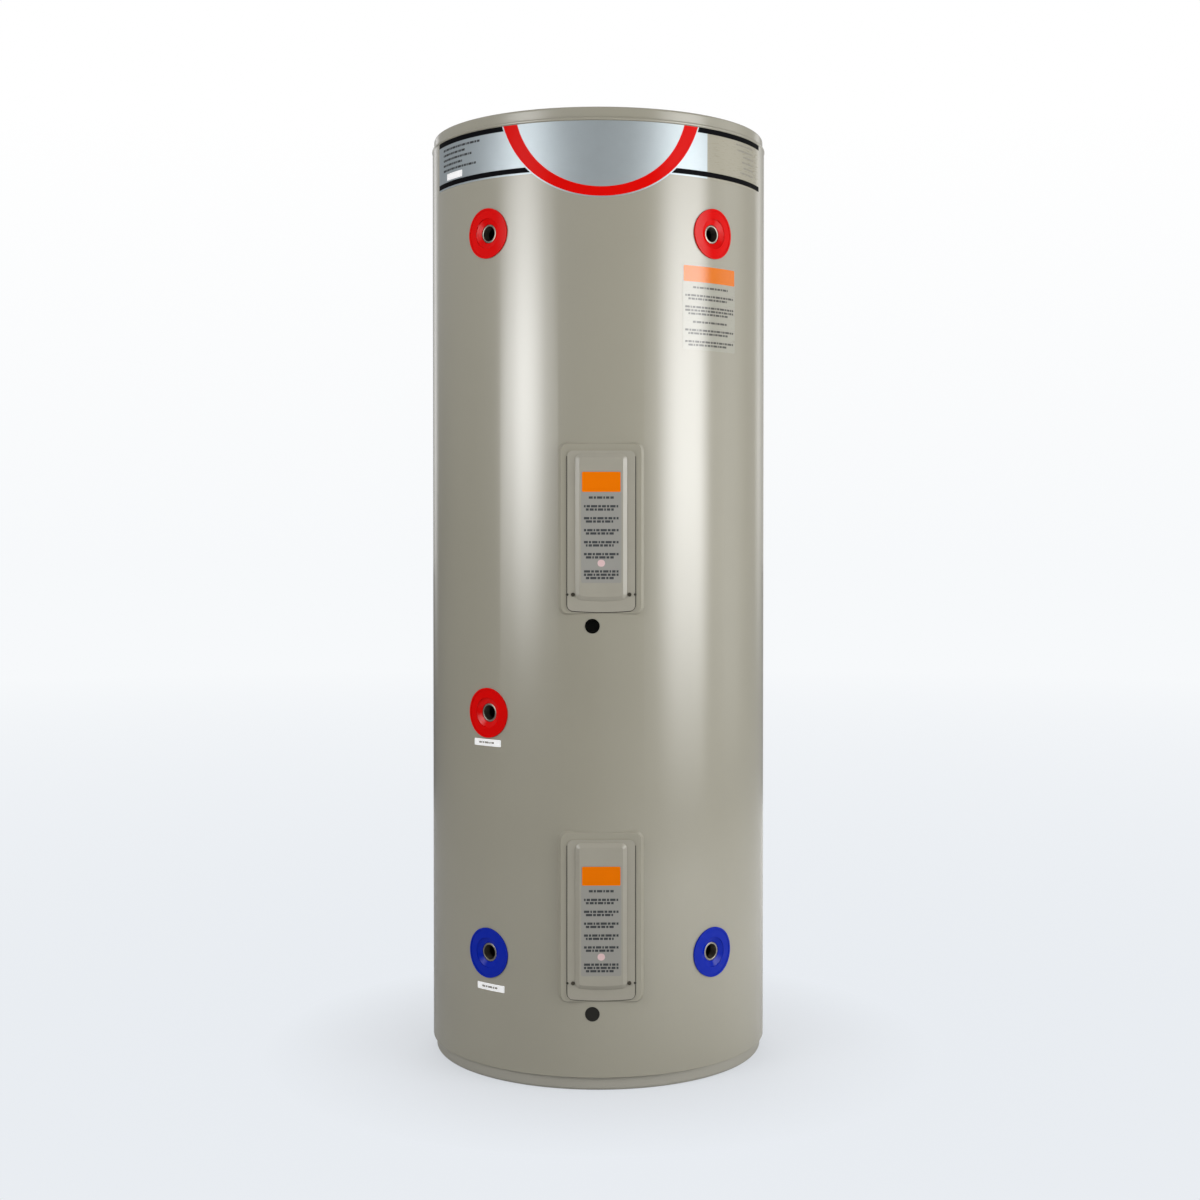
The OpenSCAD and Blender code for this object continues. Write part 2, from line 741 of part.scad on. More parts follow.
// Closed tube that lets cold water in gently, through two rows of holes
module cold_diffuser(az) {
    end = socket_start - diffuser_len;
    holes = floor((diffuser_len - 30) / diffuser_pitch);
    color([0.70, 0.71, 0.72]) at_azimuth(az, cold_port_z) difference() {
        bar(tube_r, end, socket_start, 72);
        bar(tube_r - tube_wall, end + tube_wall, socket_start + over, 72);
        for (i = [0:holes - 1]) translate([0, 0, end + 16 + i * diffuser_pitch])
            rotate([0, 90, 0]) cylinder(d = diffuser_hole_d, h = tube_d + 4, center = true, $fn = 32);
    }
}

// ---------------------------------------------------------------- covers

// How far a bowed lower edge has risen at x, when half is half its width
function bow_rise(x, half) = cover_bow * pow(x / half, 2);

// Outline of a cover's flange, its lower edge bowed
function flange_outline() = let (
        r = cover_corner_r,
        x = cover_w / 2 - r,
        top = cover_h / 2 - r,
        low = r - cover_h / 2 + bow_rise(x, cover_w / 2),
        lean = atan(2 * cover_bow * x / pow(cover_w / 2, 2)))
    concat([for (i = [-4:4]) [x * i / 5, bow_rise(x * i / 5, cover_w / 2) - cover_h / 2]],
        arc([x, low], r, 270 + lean, 360), arc([x, top], r, 0, 90),
        arc([-x, top], r, 90, 180), arc([-x, low], r, 180, 270 - lean));

// Corner centres of a cover's raised face, with more along its bowed lower edge
function face_corners() = let (
        x = face_w / 2 - face_corner_r,
        top = cover_h / 2 - face_top_margin - face_corner_r,
        low = face_bottom_margin + face_corner_r - cover_h / 2)
    concat([[-x, top], [x, top]],
        [for (i = [-2:2]) [x * i / 2, low + bow_rise(x * i / 2, face_w / 2)]]);

// The raised face as a solid: a short wall with a little draft, then a wide bevel
module face_form(inset, from, to) {
    r = face_corner_r - inset;
    wall_h = to - face_bevel_h - from;
    hull() for (c = face_corners()) translate([c[0], c[1], from]) {
        cylinder(r1 = r, r2 = r - face_draft, h = wall_h, $fn = 32);
        translate([0, 0, wall_h])
            cylinder(r1 = r - face_draft, r2 = r - face_bevel, h = face_bevel_h, $fn = 32);
    }
}

// Moulded cover: a flange on the raised flat, a hollow raised face and four ribs that
// locate it in the opening
module access_cover(z) {
    rib_x = window_w / 2 - 0.5 - rib_t / 2;
    // The ribs end under the bevel, in the wall of the face
    under_bevel = max(0, rib_x - rib_t / 2 - (face_w / 2 - face_bevel - cover_wall));
    rib_top = cover_face - cover_wall - face_bevel_h * under_bevel / face_bevel + 0.5;
    color([0.585, 0.57, 0.52]) at_azimuth(0, z) {
        difference() {
            union() {
                translate([0, 0, cover_back]) linear_extrude(flange_t) polygon(flange_outline());
                face_form(0, cover_back, cover_face);
            }
            face_form(cover_wall, cover_back - 0.01, cover_face - cover_wall);
            for (side = [-1, 1]) {
                translate([side * screw_span / 2, -screw_drop])
                    bar(screw_d / 2 + 0.3, cover_back - over, cover_back + flange_t + over);
                translate([side * cover_w / 2, -screw_drop])
                    bar(notch_r, cover_back - over, cover_back + flange_t + over);
            }
        }
        for (side = [-1, 1], up = [-1, 1])
            translate([side * rib_x - rib_t / 2, window_up + up * rib_z - rib_h / 2, cover_back - rib_reach])
                cube([rib_t, rib_h, rib_top - cover_back + rib_reach]);
    }
}

// Two pan-head screws through a cover's flange
module cover_screws(z) {
    head = cover_back + flange_t;
    color([0.45, 0.44, 0.42]) at_azimuth(0, z - screw_drop) for (side = [-1, 1])
        translate([side * screw_span / 2, 0]) {
            translate([0, 0, head]) cylinder(d1 = screw_head_d, d2 = screw_head_d - 1.2,
                h = screw_head_h, $fn = 48);
            bar(screw_d / 2, head - screw_len, head);
        }
}

// ---------------------------------------------------------------- conduit entries

// Rubber grommet in the upper conduit hole
module conduit_grommet(z) {
    outside = jacket_r + 0.05;
    color([0.03, 0.03, 0.03]) at_azimuth(-conduit_az, z - conduit_drop) rotate_extrude($fn = 72)
        polygon([[conduit_bore_d / 2, grommet_back - 3], [grommet_inner_r, grommet_back - 3],
            [grommet_inner_r, grommet_back], [grommet_neck_r, grommet_back],
            [grommet_neck_r, outside], [grommet_r, outside],
            [grommet_r, outside + grommet_flange_t / 2],
            [grommet_r - 0.5, outside + grommet_flange_t],
            [conduit_bore_d / 2 + 0.4, outside + grommet_flange_t],
            [conduit_bore_d / 2, outside + grommet_flange_t - 0.4]]);
}

// Blanking plug in the lower conduit hole
module conduit_plug(z) {
    outside = jacket_r + 0.05;
    color([0.12, 0.12, 0.12]) at_azimuth(-conduit_az, z - conduit_drop) rotate_extrude($fn = 72)
        polygon([[0, outside - 1.2], [grommet_neck_r - 1.8, outside - 1.2],
            [grommet_neck_r - 1.8, grommet_back - 6], [grommet_neck_r - 0.4, grommet_back - 6],
            [grommet_neck_r + 0.5, grommet_back - 2.2], [grommet_neck_r - 0.3, grommet_back - 0.4],
            [grommet_neck_r - 0.3, outside], [grommet_r, outside],
            [grommet_r, outside + 0.3], [grommet_r - 0.7, outside + grommet_flange_t],
            [0, outside + grommet_flange_t]]);
}

// ---------------------------------------------------------------- compartments

// Box that keeps the foam out of an element compartment
module compartment_liner(z) {
    color([0.80, 0.80, 0.78]) difference() {
        intersection() {
            at_azimuth(0, z + liner_mid)
                slab(liner_w + 2 * liner_wall, liner_h + 2 * liner_wall, 3.5, liner_back, jacket_r + over);
            jacket_form(jacket_wall + fit_gap, z - 2 * cover_h, z + 2 * cover_h);
        }
        at_azimuth(0, z) {
            translate([0, liner_mid])
                slab(liner_w, liner_h, 1.5, liner_back + liner_wall, jacket_r + 2 * over);
            translate([0, -element_drop])
                slab(seat_side + 2, seat_side + 2, 3, liner_back - over, liner_back + 2 * liner_wall);
            translate([0, thermostat_up])
                slab(thermostat_w + 24, thermostat_h + 6, 3, liner_back - over, liner_back + 2 * liner_wall);
            translate([stud_x, -stud_drop]) bar(5, liner_back - over, liner_back + 2 * liner_wall);
        }
    }
}

// Plate that stiffens the jacket round a conduit entry, under the opening
module entry_plate(z) {
    low = -liner_down + fit_gap;
    high = window_up - window_h / 2 - over;
    color([0.62, 0.62, 0.60]) difference() {
        intersection() {
            at_azimuth(0, z + (low + high) / 2)
                slab(liner_w - 2 * fit_gap, high - low, 3, jacket_r - 20, jacket_r + over);
            translate([0, 0, z - cover_h]) cylinder(r = foam_r, h = cover_h, $fn = 240);
        }
        translate([0, 0, z - cover_h]) cylinder(r = foam_r - entry_plate_t, h = cover_h, $fn = 240);
        at_azimuth(-conduit_az, z - conduit_drop) bar(grommet_inner_r + fit_gap, jacket_r - 20, jacket_r);
    }
}

// ---------------------------------------------------------------- heating elements

// The four bolt positions
module at_bolts() {
    for (sx = [-1, 1], sy = [-1, 1])
        translate([sx * bolt_spacing / 2, sy * bolt_spacing / 2]) children();
}

// Welded seat: a neck through the tank's wall and a square plate with four tapped holes
module element_seat(z) {
    color([0.55, 0.56, 0.57]) at_azimuth(0, z - element_drop) difference() {
        union() {
            bar(seat_neck_r, tank_r - 5, seat_plate + 1, 72);
            slab(seat_side, seat_side, 9, seat_plate, gasket_start);
        }
        bar(seat_bore_d / 2, tank_r - 10, gasket_start + over, 72);
        at_bolts() bar(bolt_d / 2 + 0.1, seat_plate - over, gasket_start + over);
    }
}

module element_gasket(z) {
    color([0.08, 0.08, 0.08]) at_azimuth(0, z - element_drop) difference() {
        slab(element_side, element_side, 8, gasket_start, element_start);
        bar(seat_bore_d / 2, gasket_start - over, element_start + over, 72);
        at_bolts() bar(bolt_d / 2 + 0.4, gasket_start - over, element_start + over);
    }
}

// A leg of the heated tube, and a bend that joins two legs. Both start their circles
// out of the bend's plane, so that the round faces meet edge to edge.
module sheath_leg(x, from, to) {
    translate([x, 0]) rotate(90) bar(sheath_d / 2, from, to, 32);
}

module sheath_bend(x, at, side) {
    translate([x, 0, at]) rotate([90, 0, 0]) rotate([0, 0, side > 0 ? 0 : 180])
        rotate_extrude(angle = 180, $fn = 48)
            translate([sheath_pitch / 2, 0]) rotate(90) circle(d = sheath_d, $fn = 32);
}

// Element: a square flange, a tube folded into four legs, and two terminals
module heating_element(z) {
    far = element_start - element_len;
    near = tank_r - 30;
    color([0.58, 0.56, 0.54]) at_azimuth(0, z - element_drop) {
        difference() {
            slab(element_side, element_side, 8, element_start, element_face);
            at_bolts() bar(bolt_d / 2 + 0.4, element_start - over, element_face + over);
        }
        for (side = [-1, 1]) {
            sheath_leg(side * terminal_span / 2, far, element_start);
            sheath_leg(side * sheath_pitch / 2, far, near);
            sheath_bend(side * sheath_pitch, far, -1);
            translate([side * terminal_span / 2, 0]) {
                bar(5, element_face, link_level);
                bar(terminal_stud_r, element_face, link_level + 9);
                translate([0, 0, link_level + link_t]) cylinder(r = 4.6, h = 3.2, $fn = 6);
            }
        }
        sheath_bend(0, near, 1);
    }
}

// Four hexagon bolts that hold the element
module element_bolts(z) {
    color([0.66, 0.65, 0.62]) at_azimuth(0, z - element_drop) at_bolts() {
        translate([0, 0, element_face])
            cylinder(d = bolt_flats / cos(30), h = bolt_head_h, $fn = 6);
        bar(bolt_d / 2, seat_plate + 1, element_face);
    }
}

// ---------------------------------------------------------------- thermostats

// Moulded body: two terminal shelves, a middle block, a boss and a button collar
module thermostat_body(z) {
    color([0.14, 0.13, 0.13]) at_azimuth(0, z + thermostat_up) difference() {
        union() {
            slab(thermostat_w, thermostat_h, 3, thermostat_back, shelf);
            slab(block_w, thermostat_h - 4, 2, shelf - 1, block_face);
            for (up = [-1, 1]) translate([0, up * terminal_pitch / 2])
                slab(thermostat_w, 2, 0.5, shelf - 1, shelf + 6);
            translate([0, -dial_drop]) bar(block_w / 2 - 1, block_face - 1, block_face + boss_h);
            translate([0, button_up]) bar(button_d / 2 + 2.2, block_face - 1, block_face + collar_h);
        }
        translate([0, -dial_drop]) bar(stem_d / 2 + running_gap, dial_back - stem_len - 1, block_face + 5);
        translate([0, button_up])
            bar(button_d / 2 + running_gap, button_start - button_travel - 0.5, block_face + 8);
        for (side = [-1, 1], row = [-1, 0, 1])
            translate([side * terminal_span / 2, row * terminal_pitch]) bar(1.9, shelf - 5, shelf + 5);
    }
}

// Temperature dial: a scalloped disc with a pointer ridge, on a stem
module thermostat_dial(z) {
    scallops = 20;
    color([0.90, 0.89, 0.85]) at_azimuth(0, z + thermostat_up) translate([0, -dial_drop]) {
        difference() {
            bar(dial_d / 2, dial_back, dial_back + dial_t, 72);
            for (i = [0:scallops - 1]) rotate(i * 360 / scallops)
                translate([dial_d / 2 + 0.5, 0]) bar(1.1, dial_back - over, dial_back + dial_t + over, 16);
        }
        slab(2.4, dial_d - 5, 1.1, dial_back + dial_t - 0.5, dial_back + dial_t + 1.2);
        bar(stem_d / 2, dial_back - stem_len, dial_back + 1);
    }
}

// Over-temperature reset button
module reset_button(z) {
    color([0.75, 0.06, 0.05]) at_azimuth(0, z + thermostat_up) translate([0, button_up]) {
        bar(button_d / 2, button_start, button_face - 0.6, 48);
        translate([0, 0, button_face - 0.6])
            cylinder(r1 = button_d / 2, r2 = button_d / 2 - 0.6, h = 0.6, $fn = 48);
    }
}

// Spring clip: a foot on the tank, an arm beside the body and a hook over its shelf
module clip_side(side) {
    inner = thermostat_w / 2 + clip_gap;
    hook = shelf + clip_gap;
    mirror([side > 0 ? 0 : 1, 0, 0]) rotate([90, 0, 0]) linear_extrude(clip_w, center = true)
        polygon([[inner, liner_back], [inner + 9, liner_back], [inner + 9, liner_back + clip_t],
            [inner + clip_t, liner_back + clip_t], [inner + clip_t, hook + clip_t],
            [inner - 4, hook + clip_t], [inner - 4, hook], [inner, hook]]);
}

module thermostat_clip(z) {
    color([0.70, 0.69, 0.66]) at_azimuth(0, z + thermostat_up - clip_drop)
        for (side = [-1, 1]) clip_side(side);
}

// Six terminal screws, the upper four with square clamp plates
module terminal_screws(z) {
    color([0.78, 0.66, 0.36]) at_azimuth(0, z + thermostat_up) for (side = [-1, 1], row = [-1, 0, 1])
        translate([side * terminal_span / 2, row * terminal_pitch]) {
            bar(3, shelf + link_t, shelf + link_t + 2.6, 32);
            bar(1.8, shelf - 4, shelf + link_t, 32);
            if (row >= 0) slab(8, 8, 0.6, shelf, shelf + link_t);
        }
}

// Two brass strips that carry the current from the thermostat to the element
module link_bars(z) {
    high = thermostat_up - terminal_pitch;
    step = link_level - shelf;
    bend = -thermostat_h / 2 + thermostat_up - 3;
    color([0.76, 0.62, 0.32]) at_azimuth(0, z) for (side = [-1, 1])
        translate([side * terminal_span / 2, 0]) difference() {
            rotate([0, 90, 0]) rotate([0, 0, 90]) linear_extrude(7, center = true)
                polygon([[high + 5, shelf], [high + 5, shelf + link_t], [bend, shelf + link_t],
                    [bend - step, link_level + link_t], [-element_drop - 5, link_level + link_t],
                    [-element_drop - 5, link_level], [bend - step, link_level], [bend, shelf]]);
            translate([0, high]) bar(2, shelf - over, shelf + 4, 32);
            translate([0, -element_drop]) bar(terminal_stud_r + 0.2, link_level - 2, link_level + 4, 32);
        }
}

// Earth terminal: a stud on the tank with two washers and a nut
module earth_stud(z) {
    root = sqrt(pow(tank_r, 2) - pow(stud_x - stud_r, 2));
    color([0.72, 0.60, 0.30]) at_azimuth(0, z - stud_drop) translate([stud_x, 0]) {
        bar(stud_r, root + 0.1, root + 19, 32);
        bar(5, root + 7, root + 8.2, 32);
        translate([0, 0, root + 8.2]) cylinder(r = 4.6, h = 4, $fn = 6);
    }
}

base_pan();
jacket();
lid();
foam_insulation();
tank_barrel();
tank_top_head();
tank_bottom_head();
tank_stand_ring();
socket(-port_az, hot_port_z);  // socket_hot_upper_left
socket(port_az, hot_port_z);  // socket_hot_upper_right
socket(-port_az, mid_port_z);  // socket_hot_middle
socket(-port_az, cold_port_z);  // socket_cold_left
socket(port_az, cold_port_z);  // socket_cold_right
port_ring(-port_az, hot_port_z, "red");  // port_ring_hot_upper_left
port_ring(port_az, hot_port_z, "red");  // port_ring_hot_upper_right
port_ring(-port_az, mid_port_z, "red");  // port_ring_hot_middle
port_ring(-port_az, cold_port_z, "mediumblue");  // port_ring_cold_left
port_ring(port_az, cold_port_z, "mediumblue");  // port_ring_cold_right
hot_pickup(-port_az);  // hot_pickup_left
hot_pickup(port_az);  // hot_pickup_right
cold_diffuser(-port_az);  // cold_diffuser_left
cold_diffuser(port_az);  // cold_diffuser_right
access_cover(upper_cover_z);  // access_cover_upper
access_cover(lower_cover_z);  // access_cover_lower
cover_screws(upper_cover_z);  // cover_screws_upper
cover_screws(lower_cover_z);  // cover_screws_lower
conduit_grommet(upper_cover_z);
conduit_plug(lower_cover_z);
entry_plate(upper_cover_z);  // entry_plate_upper
entry_plate(lower_cover_z);  // entry_plate_lower
compartment_liner(upper_cover_z);  // compartment_liner_upper
compartment_liner(lower_cover_z);  // compartment_liner_lower
element_seat(upper_cover_z);  // element_seat_upper
element_seat(lower_cover_z);  // element_seat_lower
element_gasket(upper_cover_z);  // element_gasket_upper
element_gasket(lower_cover_z);  // element_gasket_lower
heating_element(upper_cover_z);  // heating_element_upper
heating_element(lower_cover_z);  // heating_element_lower
element_bolts(upper_cover_z);  // element_bolts_upper
element_bolts(lower_cover_z);  // element_bolts_lower
thermostat_body(upper_cover_z);  // thermostat_body_upper
thermostat_body(lower_cover_z);  // thermostat_body_lower
thermostat_dial(upper_cover_z);  // thermostat_dial_upper
thermostat_dial(lower_cover_z);  // thermostat_dial_lower
reset_button(upper_cover_z);  // reset_button_upper
reset_button(lower_cover_z);  // reset_button_lower
thermostat_clip(upper_cover_z);  // thermostat_clip_upper
thermostat_clip(lower_cover_z);  // thermostat_clip_lower
terminal_screws(upper_cover_z);  // terminal_screws_upper
terminal_screws(lower_cover_z);  // terminal_screws_lower
link_bars(upper_cover_z);  // link_bars_upper
link_bars(lower_cover_z);  // link_bars_lower
earth_stud(upper_cover_z);  // earth_stud_upper
earth_stud(lower_cover_z);  // earth_stud_lower
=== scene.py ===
# %% [markdown]
# # A tank water heater, dressed for the studio
# The heater is a tall painted steel cylinder with five pipe ports, two access covers
# and a foil band round its top. Its solid parts arrive already measured, as a fixed
# frame in metres: +Z is up and the covers face -Y. This script gives every part its
# finish, adds what is printed, stuck on or too fine for the solid model, and builds
# the studio round it. Each step below first says what the real thing is like.

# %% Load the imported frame
import json
import math

import bmesh
import bpy
from mathutils import Matrix, Vector


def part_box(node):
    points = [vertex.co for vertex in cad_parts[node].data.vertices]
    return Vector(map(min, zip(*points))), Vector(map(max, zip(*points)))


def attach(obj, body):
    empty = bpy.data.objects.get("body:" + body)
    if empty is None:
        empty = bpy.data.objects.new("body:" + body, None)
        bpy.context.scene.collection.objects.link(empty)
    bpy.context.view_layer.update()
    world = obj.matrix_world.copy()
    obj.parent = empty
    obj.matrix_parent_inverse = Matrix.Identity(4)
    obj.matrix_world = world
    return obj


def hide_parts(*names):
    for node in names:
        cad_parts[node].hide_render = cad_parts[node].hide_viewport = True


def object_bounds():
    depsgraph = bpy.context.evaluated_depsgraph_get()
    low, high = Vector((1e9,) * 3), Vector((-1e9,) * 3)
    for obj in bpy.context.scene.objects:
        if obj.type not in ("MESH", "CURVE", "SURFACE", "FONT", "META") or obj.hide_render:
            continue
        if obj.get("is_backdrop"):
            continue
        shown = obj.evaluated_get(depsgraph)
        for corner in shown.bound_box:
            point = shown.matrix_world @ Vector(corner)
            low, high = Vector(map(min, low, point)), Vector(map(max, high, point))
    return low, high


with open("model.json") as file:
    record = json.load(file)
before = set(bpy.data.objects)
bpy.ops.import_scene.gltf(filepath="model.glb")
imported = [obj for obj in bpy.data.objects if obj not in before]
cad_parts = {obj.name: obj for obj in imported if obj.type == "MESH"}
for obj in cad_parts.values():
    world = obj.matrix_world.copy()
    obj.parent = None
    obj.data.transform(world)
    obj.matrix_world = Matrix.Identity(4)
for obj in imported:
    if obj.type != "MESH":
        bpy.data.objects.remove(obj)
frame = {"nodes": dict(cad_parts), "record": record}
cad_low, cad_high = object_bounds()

nodes = frame["nodes"]
print("parts loaded:", len(nodes), "height:", round(cad_high.z, 4), "m")

# %% [markdown]
# ## The camera
# A camera at waist height sees both the round shoulder of the lid and the foot of
# the base. It stands a little left of the covers and looks down by almost a degree.
# A pure vertical shift would keep the sides exactly parallel, but it would also push
# every other view off centre, so the tilt and the height take their part of the drop.

# %% Camera
CAMERA_DISTANCE = 3.450
CAMERA_HEIGHT = 1.0023
CAMERA_TURN = math.radians(-0.9)
CAMERA_TILT = math.radians(0.849)
LENS, SENSOR = 53.174, 36.0
SHIFT = (0.0014, -0.0392)

camera = bpy.data.objects.new("studio_camera", bpy.data.cameras.new("studio_camera"))
bpy.context.scene.collection.objects.link(camera)
bpy.context.scene.camera = camera
camera.data.lens, camera.data.sensor_width = LENS, SENSOR
camera.data.shift_x, camera.data.shift_y = SHIFT
camera.location = (CAMERA_DISTANCE * math.sin(CAMERA_TURN),
                   -CAMERA_DISTANCE * math.cos(CAMERA_TURN), CAMERA_HEIGHT)
camera.rotation_euler = (math.pi / 2 - CAMERA_TILT, 0.0, CAMERA_TURN)
print("camera at", [round(v, 3) for v in camera.location])

# %% [markdown]
# ## Places on the casing
# Everything stuck to the jacket follows its curve. The easiest way to lay it out is
# flat, as on a cutting mat: `u` runs round the casing to the right of the covers and
# `z` runs up. One small function bends that sheet onto the cylinder.

# %% Sizes read from the frame
JACKET_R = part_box("jacket")[1].x
COVER_FACE = -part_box("access_cover_upper")[0].y
PORTS = {m["name"].removeprefix("port_"): (Vector(m["pos_m"]), Vector(m["axis"]))
         for m in frame["record"]["mounts"] if m["name"].startswith("port_")}
print("jacket radius", round(JACKET_R, 4), "ports", sorted(PORTS))


def on_casing(u, z, lift):
    """The point at arc length u from the front and height z, lift above the paint."""
    a = u / JACKET_R
    r = JACKET_R + lift
    return Vector((r * math.sin(a), -r * math.cos(a), z))


def on_cover(u, z, lift):
    """The same for the flat face of a cover."""
    return Vector((u, -(COVER_FACE + lift), z))


# %% [markdown]
# ## How a printed film is made
# A label is a sheet a tenth of a millimetre thick. It could be a decal painted into
# the jacket's material, but then it would have no edge to catch the light. A thin
# closed solid is built instead: columns of four corners march along `u`, and two
# functions give the lower and the upper edge, so any outline with one span per
# column can be cut.

# %% Film builder
FILM = 0.00012      # thickness of a film, and its lift when it lies on the paint
INK = 0.00020       # lift of the ink on it
ON_CARD = 0.00008   # how much higher a card's ink lies than the card


def skin(bm, rows):
    """Closes rows of four corners into a solid strip with two end caps."""
    for a, b in zip(rows, rows[1:]):
        for i in range(4):
            j = (i + 1) % 4
            bm.faces.new((a[i], b[i], b[j], a[j]))
    bm.faces.new(rows[0])
    bm.faces.new(rows[-1][::-1])


def film(name, columns, low, high, lift, place):
    """A closed thin sheet between low(u) and high(u), its outer face at lift."""
    bm = bmesh.new()
    rows = []
    for u in columns:
        z0, z1 = low(u), high(u)
        rows.append([bm.verts.new(place(u, z, w)) for z, w in
                     ((z0, lift), (z1, lift), (z1, lift - FILM), (z0, lift - FILM))])
    skin(bm, rows)
    bmesh.ops.recalc_face_normals(bm, faces=bm.faces)
    return as_object(name, bm)


def as_object(name, bm):
    """Turns a finished bmesh into an object of the scene."""
    mesh = bpy.data.meshes.new(name)
    bm.to_mesh(mesh)
    bm.free()
    piece = bpy.data.objects.new(name, mesh)
    bpy.context.scene.collection.objects.link(piece)
    return piece


def spread(start, end, step=0.004):
    """Evenly spaced columns from start to end."""
    count = max(2, round((end - start) / step))
    return [start + (end - start) * i / count for i in range(count + 1)]


def rounded_columns(start, end, corner, step=0.004):
    """Columns that crowd together where the sheet's corners are round."""
    turn = [corner * (1 - math.cos(math.radians(a))) for a in (0, 15, 30, 45, 60, 75, 90)]
    return ([start + t for t in turn] + spread(start + corner, end - corner, step)[1:-1]
            + [end - t for t in reversed(turn)])


def corner_drop(u, start, end, corner):
    """How far a round corner pulls the edge in at u."""
    inside = min(u - start, end - u, corner)
    gap = corner - max(inside, 0.0)
    return corner - math.sqrt(max(corner ** 2 - gap ** 2, 0.0))


def card(name, start, end, bottom, top, corner, lift, place):
    """A rectangular film with round corners."""
    return film(name, rounded_columns(start, end, corner),
                lambda u: bottom + corner_drop(u, start, end, corner),
                lambda u: top - corner_drop(u, start, end, corner), lift, place)


print("a film is", FILM * 1000, "mm thick")


# %% [markdown]
# ## Shared surface effects
# A few things happen on many finishes: colour is never perfectly even, sprayed paint
# has a faint orange peel, mouldings have a fine grain, metal is brushed one way, and
# dust settles on what faces up. Each becomes one node group that puts out masks,
# colours, heights or normals, and each material sets its own amounts.

# %% Node group helpers
def node_group(name, inputs, outputs):
    """An empty shader group with named sockets; inputs are (name, type, default)."""
    tree = bpy.data.node_groups.new(name, "ShaderNodeTree")
    for label, kind, default in inputs:
        socket = tree.interface.new_socket(label, in_out="INPUT",
                                           socket_type="NodeSocket" + kind)
        socket.default_value = default
    for label, kind in outputs:
        tree.interface.new_socket(label, in_out="OUTPUT", socket_type="NodeSocket" + kind)
    return tree, tree.nodes.new("NodeGroupInput"), tree.nodes.new("NodeGroupOutput")


def add(tree, kind, settings=None, **values):
    """Adds a node, sets its options, and fills or links its inputs. i0, i1 and so on
    are inputs by number; any other key is an input's name."""
    made = tree.nodes.new("ShaderNode" + kind)
    for key, value in (settings or {}).items():
        setattr(made, key, value)
    for key, value in values.items():
        numbered = key[0] == "i" and key[1:].isdigit()
        socket = made.inputs[int(key[1:]) if numbered else key]
        if isinstance(value, bpy.types.NodeSocket):
            tree.links.new(value, socket)
        else:
            socket.default_value = value
    return made


def math_node(tree, operation, a, b):
    """The result of one sum on two values."""
    return add(tree, "Math", {"operation": operation}, i0=a, i1=b).outputs[0]


def stretch(tree, value, low, high, to_low=0.0, to_high=1.0):
    """Maps low..high onto to_low..to_high and clamps."""
    return add(tree, "MapRange", None, Value=value, i1=low, i2=high,
               i3=to_low, i4=to_high).outputs[0]


print("group helpers ready")

# %% Group: uneven colour
tree, source, result = node_group("uneven_colour", [
    ("Colour", "Color", (0.5, 0.5, 0.5, 1)), ("Scale", "Float", 6.0), ("Amount", "Float", 0.06)],
    [("Colour", "Color"), ("Mask", "Float")])
where = add(tree, "TexCoord").outputs["Object"]
cloud = add(tree, "TexNoise", None, Vector=where, Scale=source.outputs["Scale"],
            Detail=4.0, Roughness=0.6)
mask = stretch(tree, cloud.outputs["Fac"], 0.3, 0.7)
swing = math_node(tree, "MULTIPLY", math_node(tree, "SUBTRACT", mask, 0.5),
                  source.outputs["Amount"])
tint = add(tree, "VectorMath", {"operation": "SCALE"}, i0=source.outputs["Colour"],
           Scale=math_node(tree, "ADD", swing, 1.0))
tree.links.new(tint.outputs[0], result.inputs["Colour"])
tree.links.new(mask, result.inputs["Mask"])
print("group made:", tree.name)

# %% Group: orange peel of sprayed paint
tree, source, result = node_group("orange_peel", [("Scale", "Float", 280.0)],
                                  [("Height", "Float")])
where = add(tree, "TexCoord").outputs["Object"]
ripple = add(tree, "TexNoise", None, Vector=where, Scale=source.outputs["Scale"],
             Detail=1.5, Roughness=0.45)
long_wave = add(tree, "TexNoise", None, Vector=where, Scale=9.0, Detail=1.0)
tree.links.new(math_node(tree, "ADD", ripple.outputs["Fac"],
                         math_node(tree, "MULTIPLY", long_wave.outputs["Fac"], 1.4)),
               result.inputs["Height"])
print("group made:", tree.name)

# %% Group: fine grain of a moulding
tree, source, result = node_group("mould_grain", [("Scale", "Float", 1400.0)],
                                  [("Height", "Float"), ("Mask", "Float")])
where = add(tree, "TexCoord").outputs["Object"]
pits = add(tree, "TexVoronoi", None, Vector=where, Scale=source.outputs["Scale"])
soft = add(tree, "TexNoise", None, Vector=where, Scale=45.0, Detail=3.0)
tree.links.new(pits.outputs["Distance"], result.inputs["Height"])
tree.links.new(stretch(tree, soft.outputs["Fac"], 0.3, 0.7), result.inputs["Mask"])
print("group made:", tree.name)

# %% Group: brushed lines
tree, source, result = node_group("brushed_lines", [("Stretch", "Vector", (40.0, 40.0, 1800.0))],
                                  [("Height", "Float"), ("Mask", "Float")])
where = add(tree, "TexCoord").outputs["Object"]
drawn = add(tree, "VectorMath", {"operation": "MULTIPLY"}, i0=where,
            i1=source.outputs["Stretch"])
lines = add(tree, "TexNoise", None, Vector=drawn.outputs[0], Scale=1.0, Detail=4.0, Roughness=0.6)
tree.links.new(lines.outputs["Fac"], result.inputs["Height"])
tree.links.new(stretch(tree, lines.outputs["Fac"], 0.35, 0.65), result.inputs["Mask"])
print("group made:", tree.name)

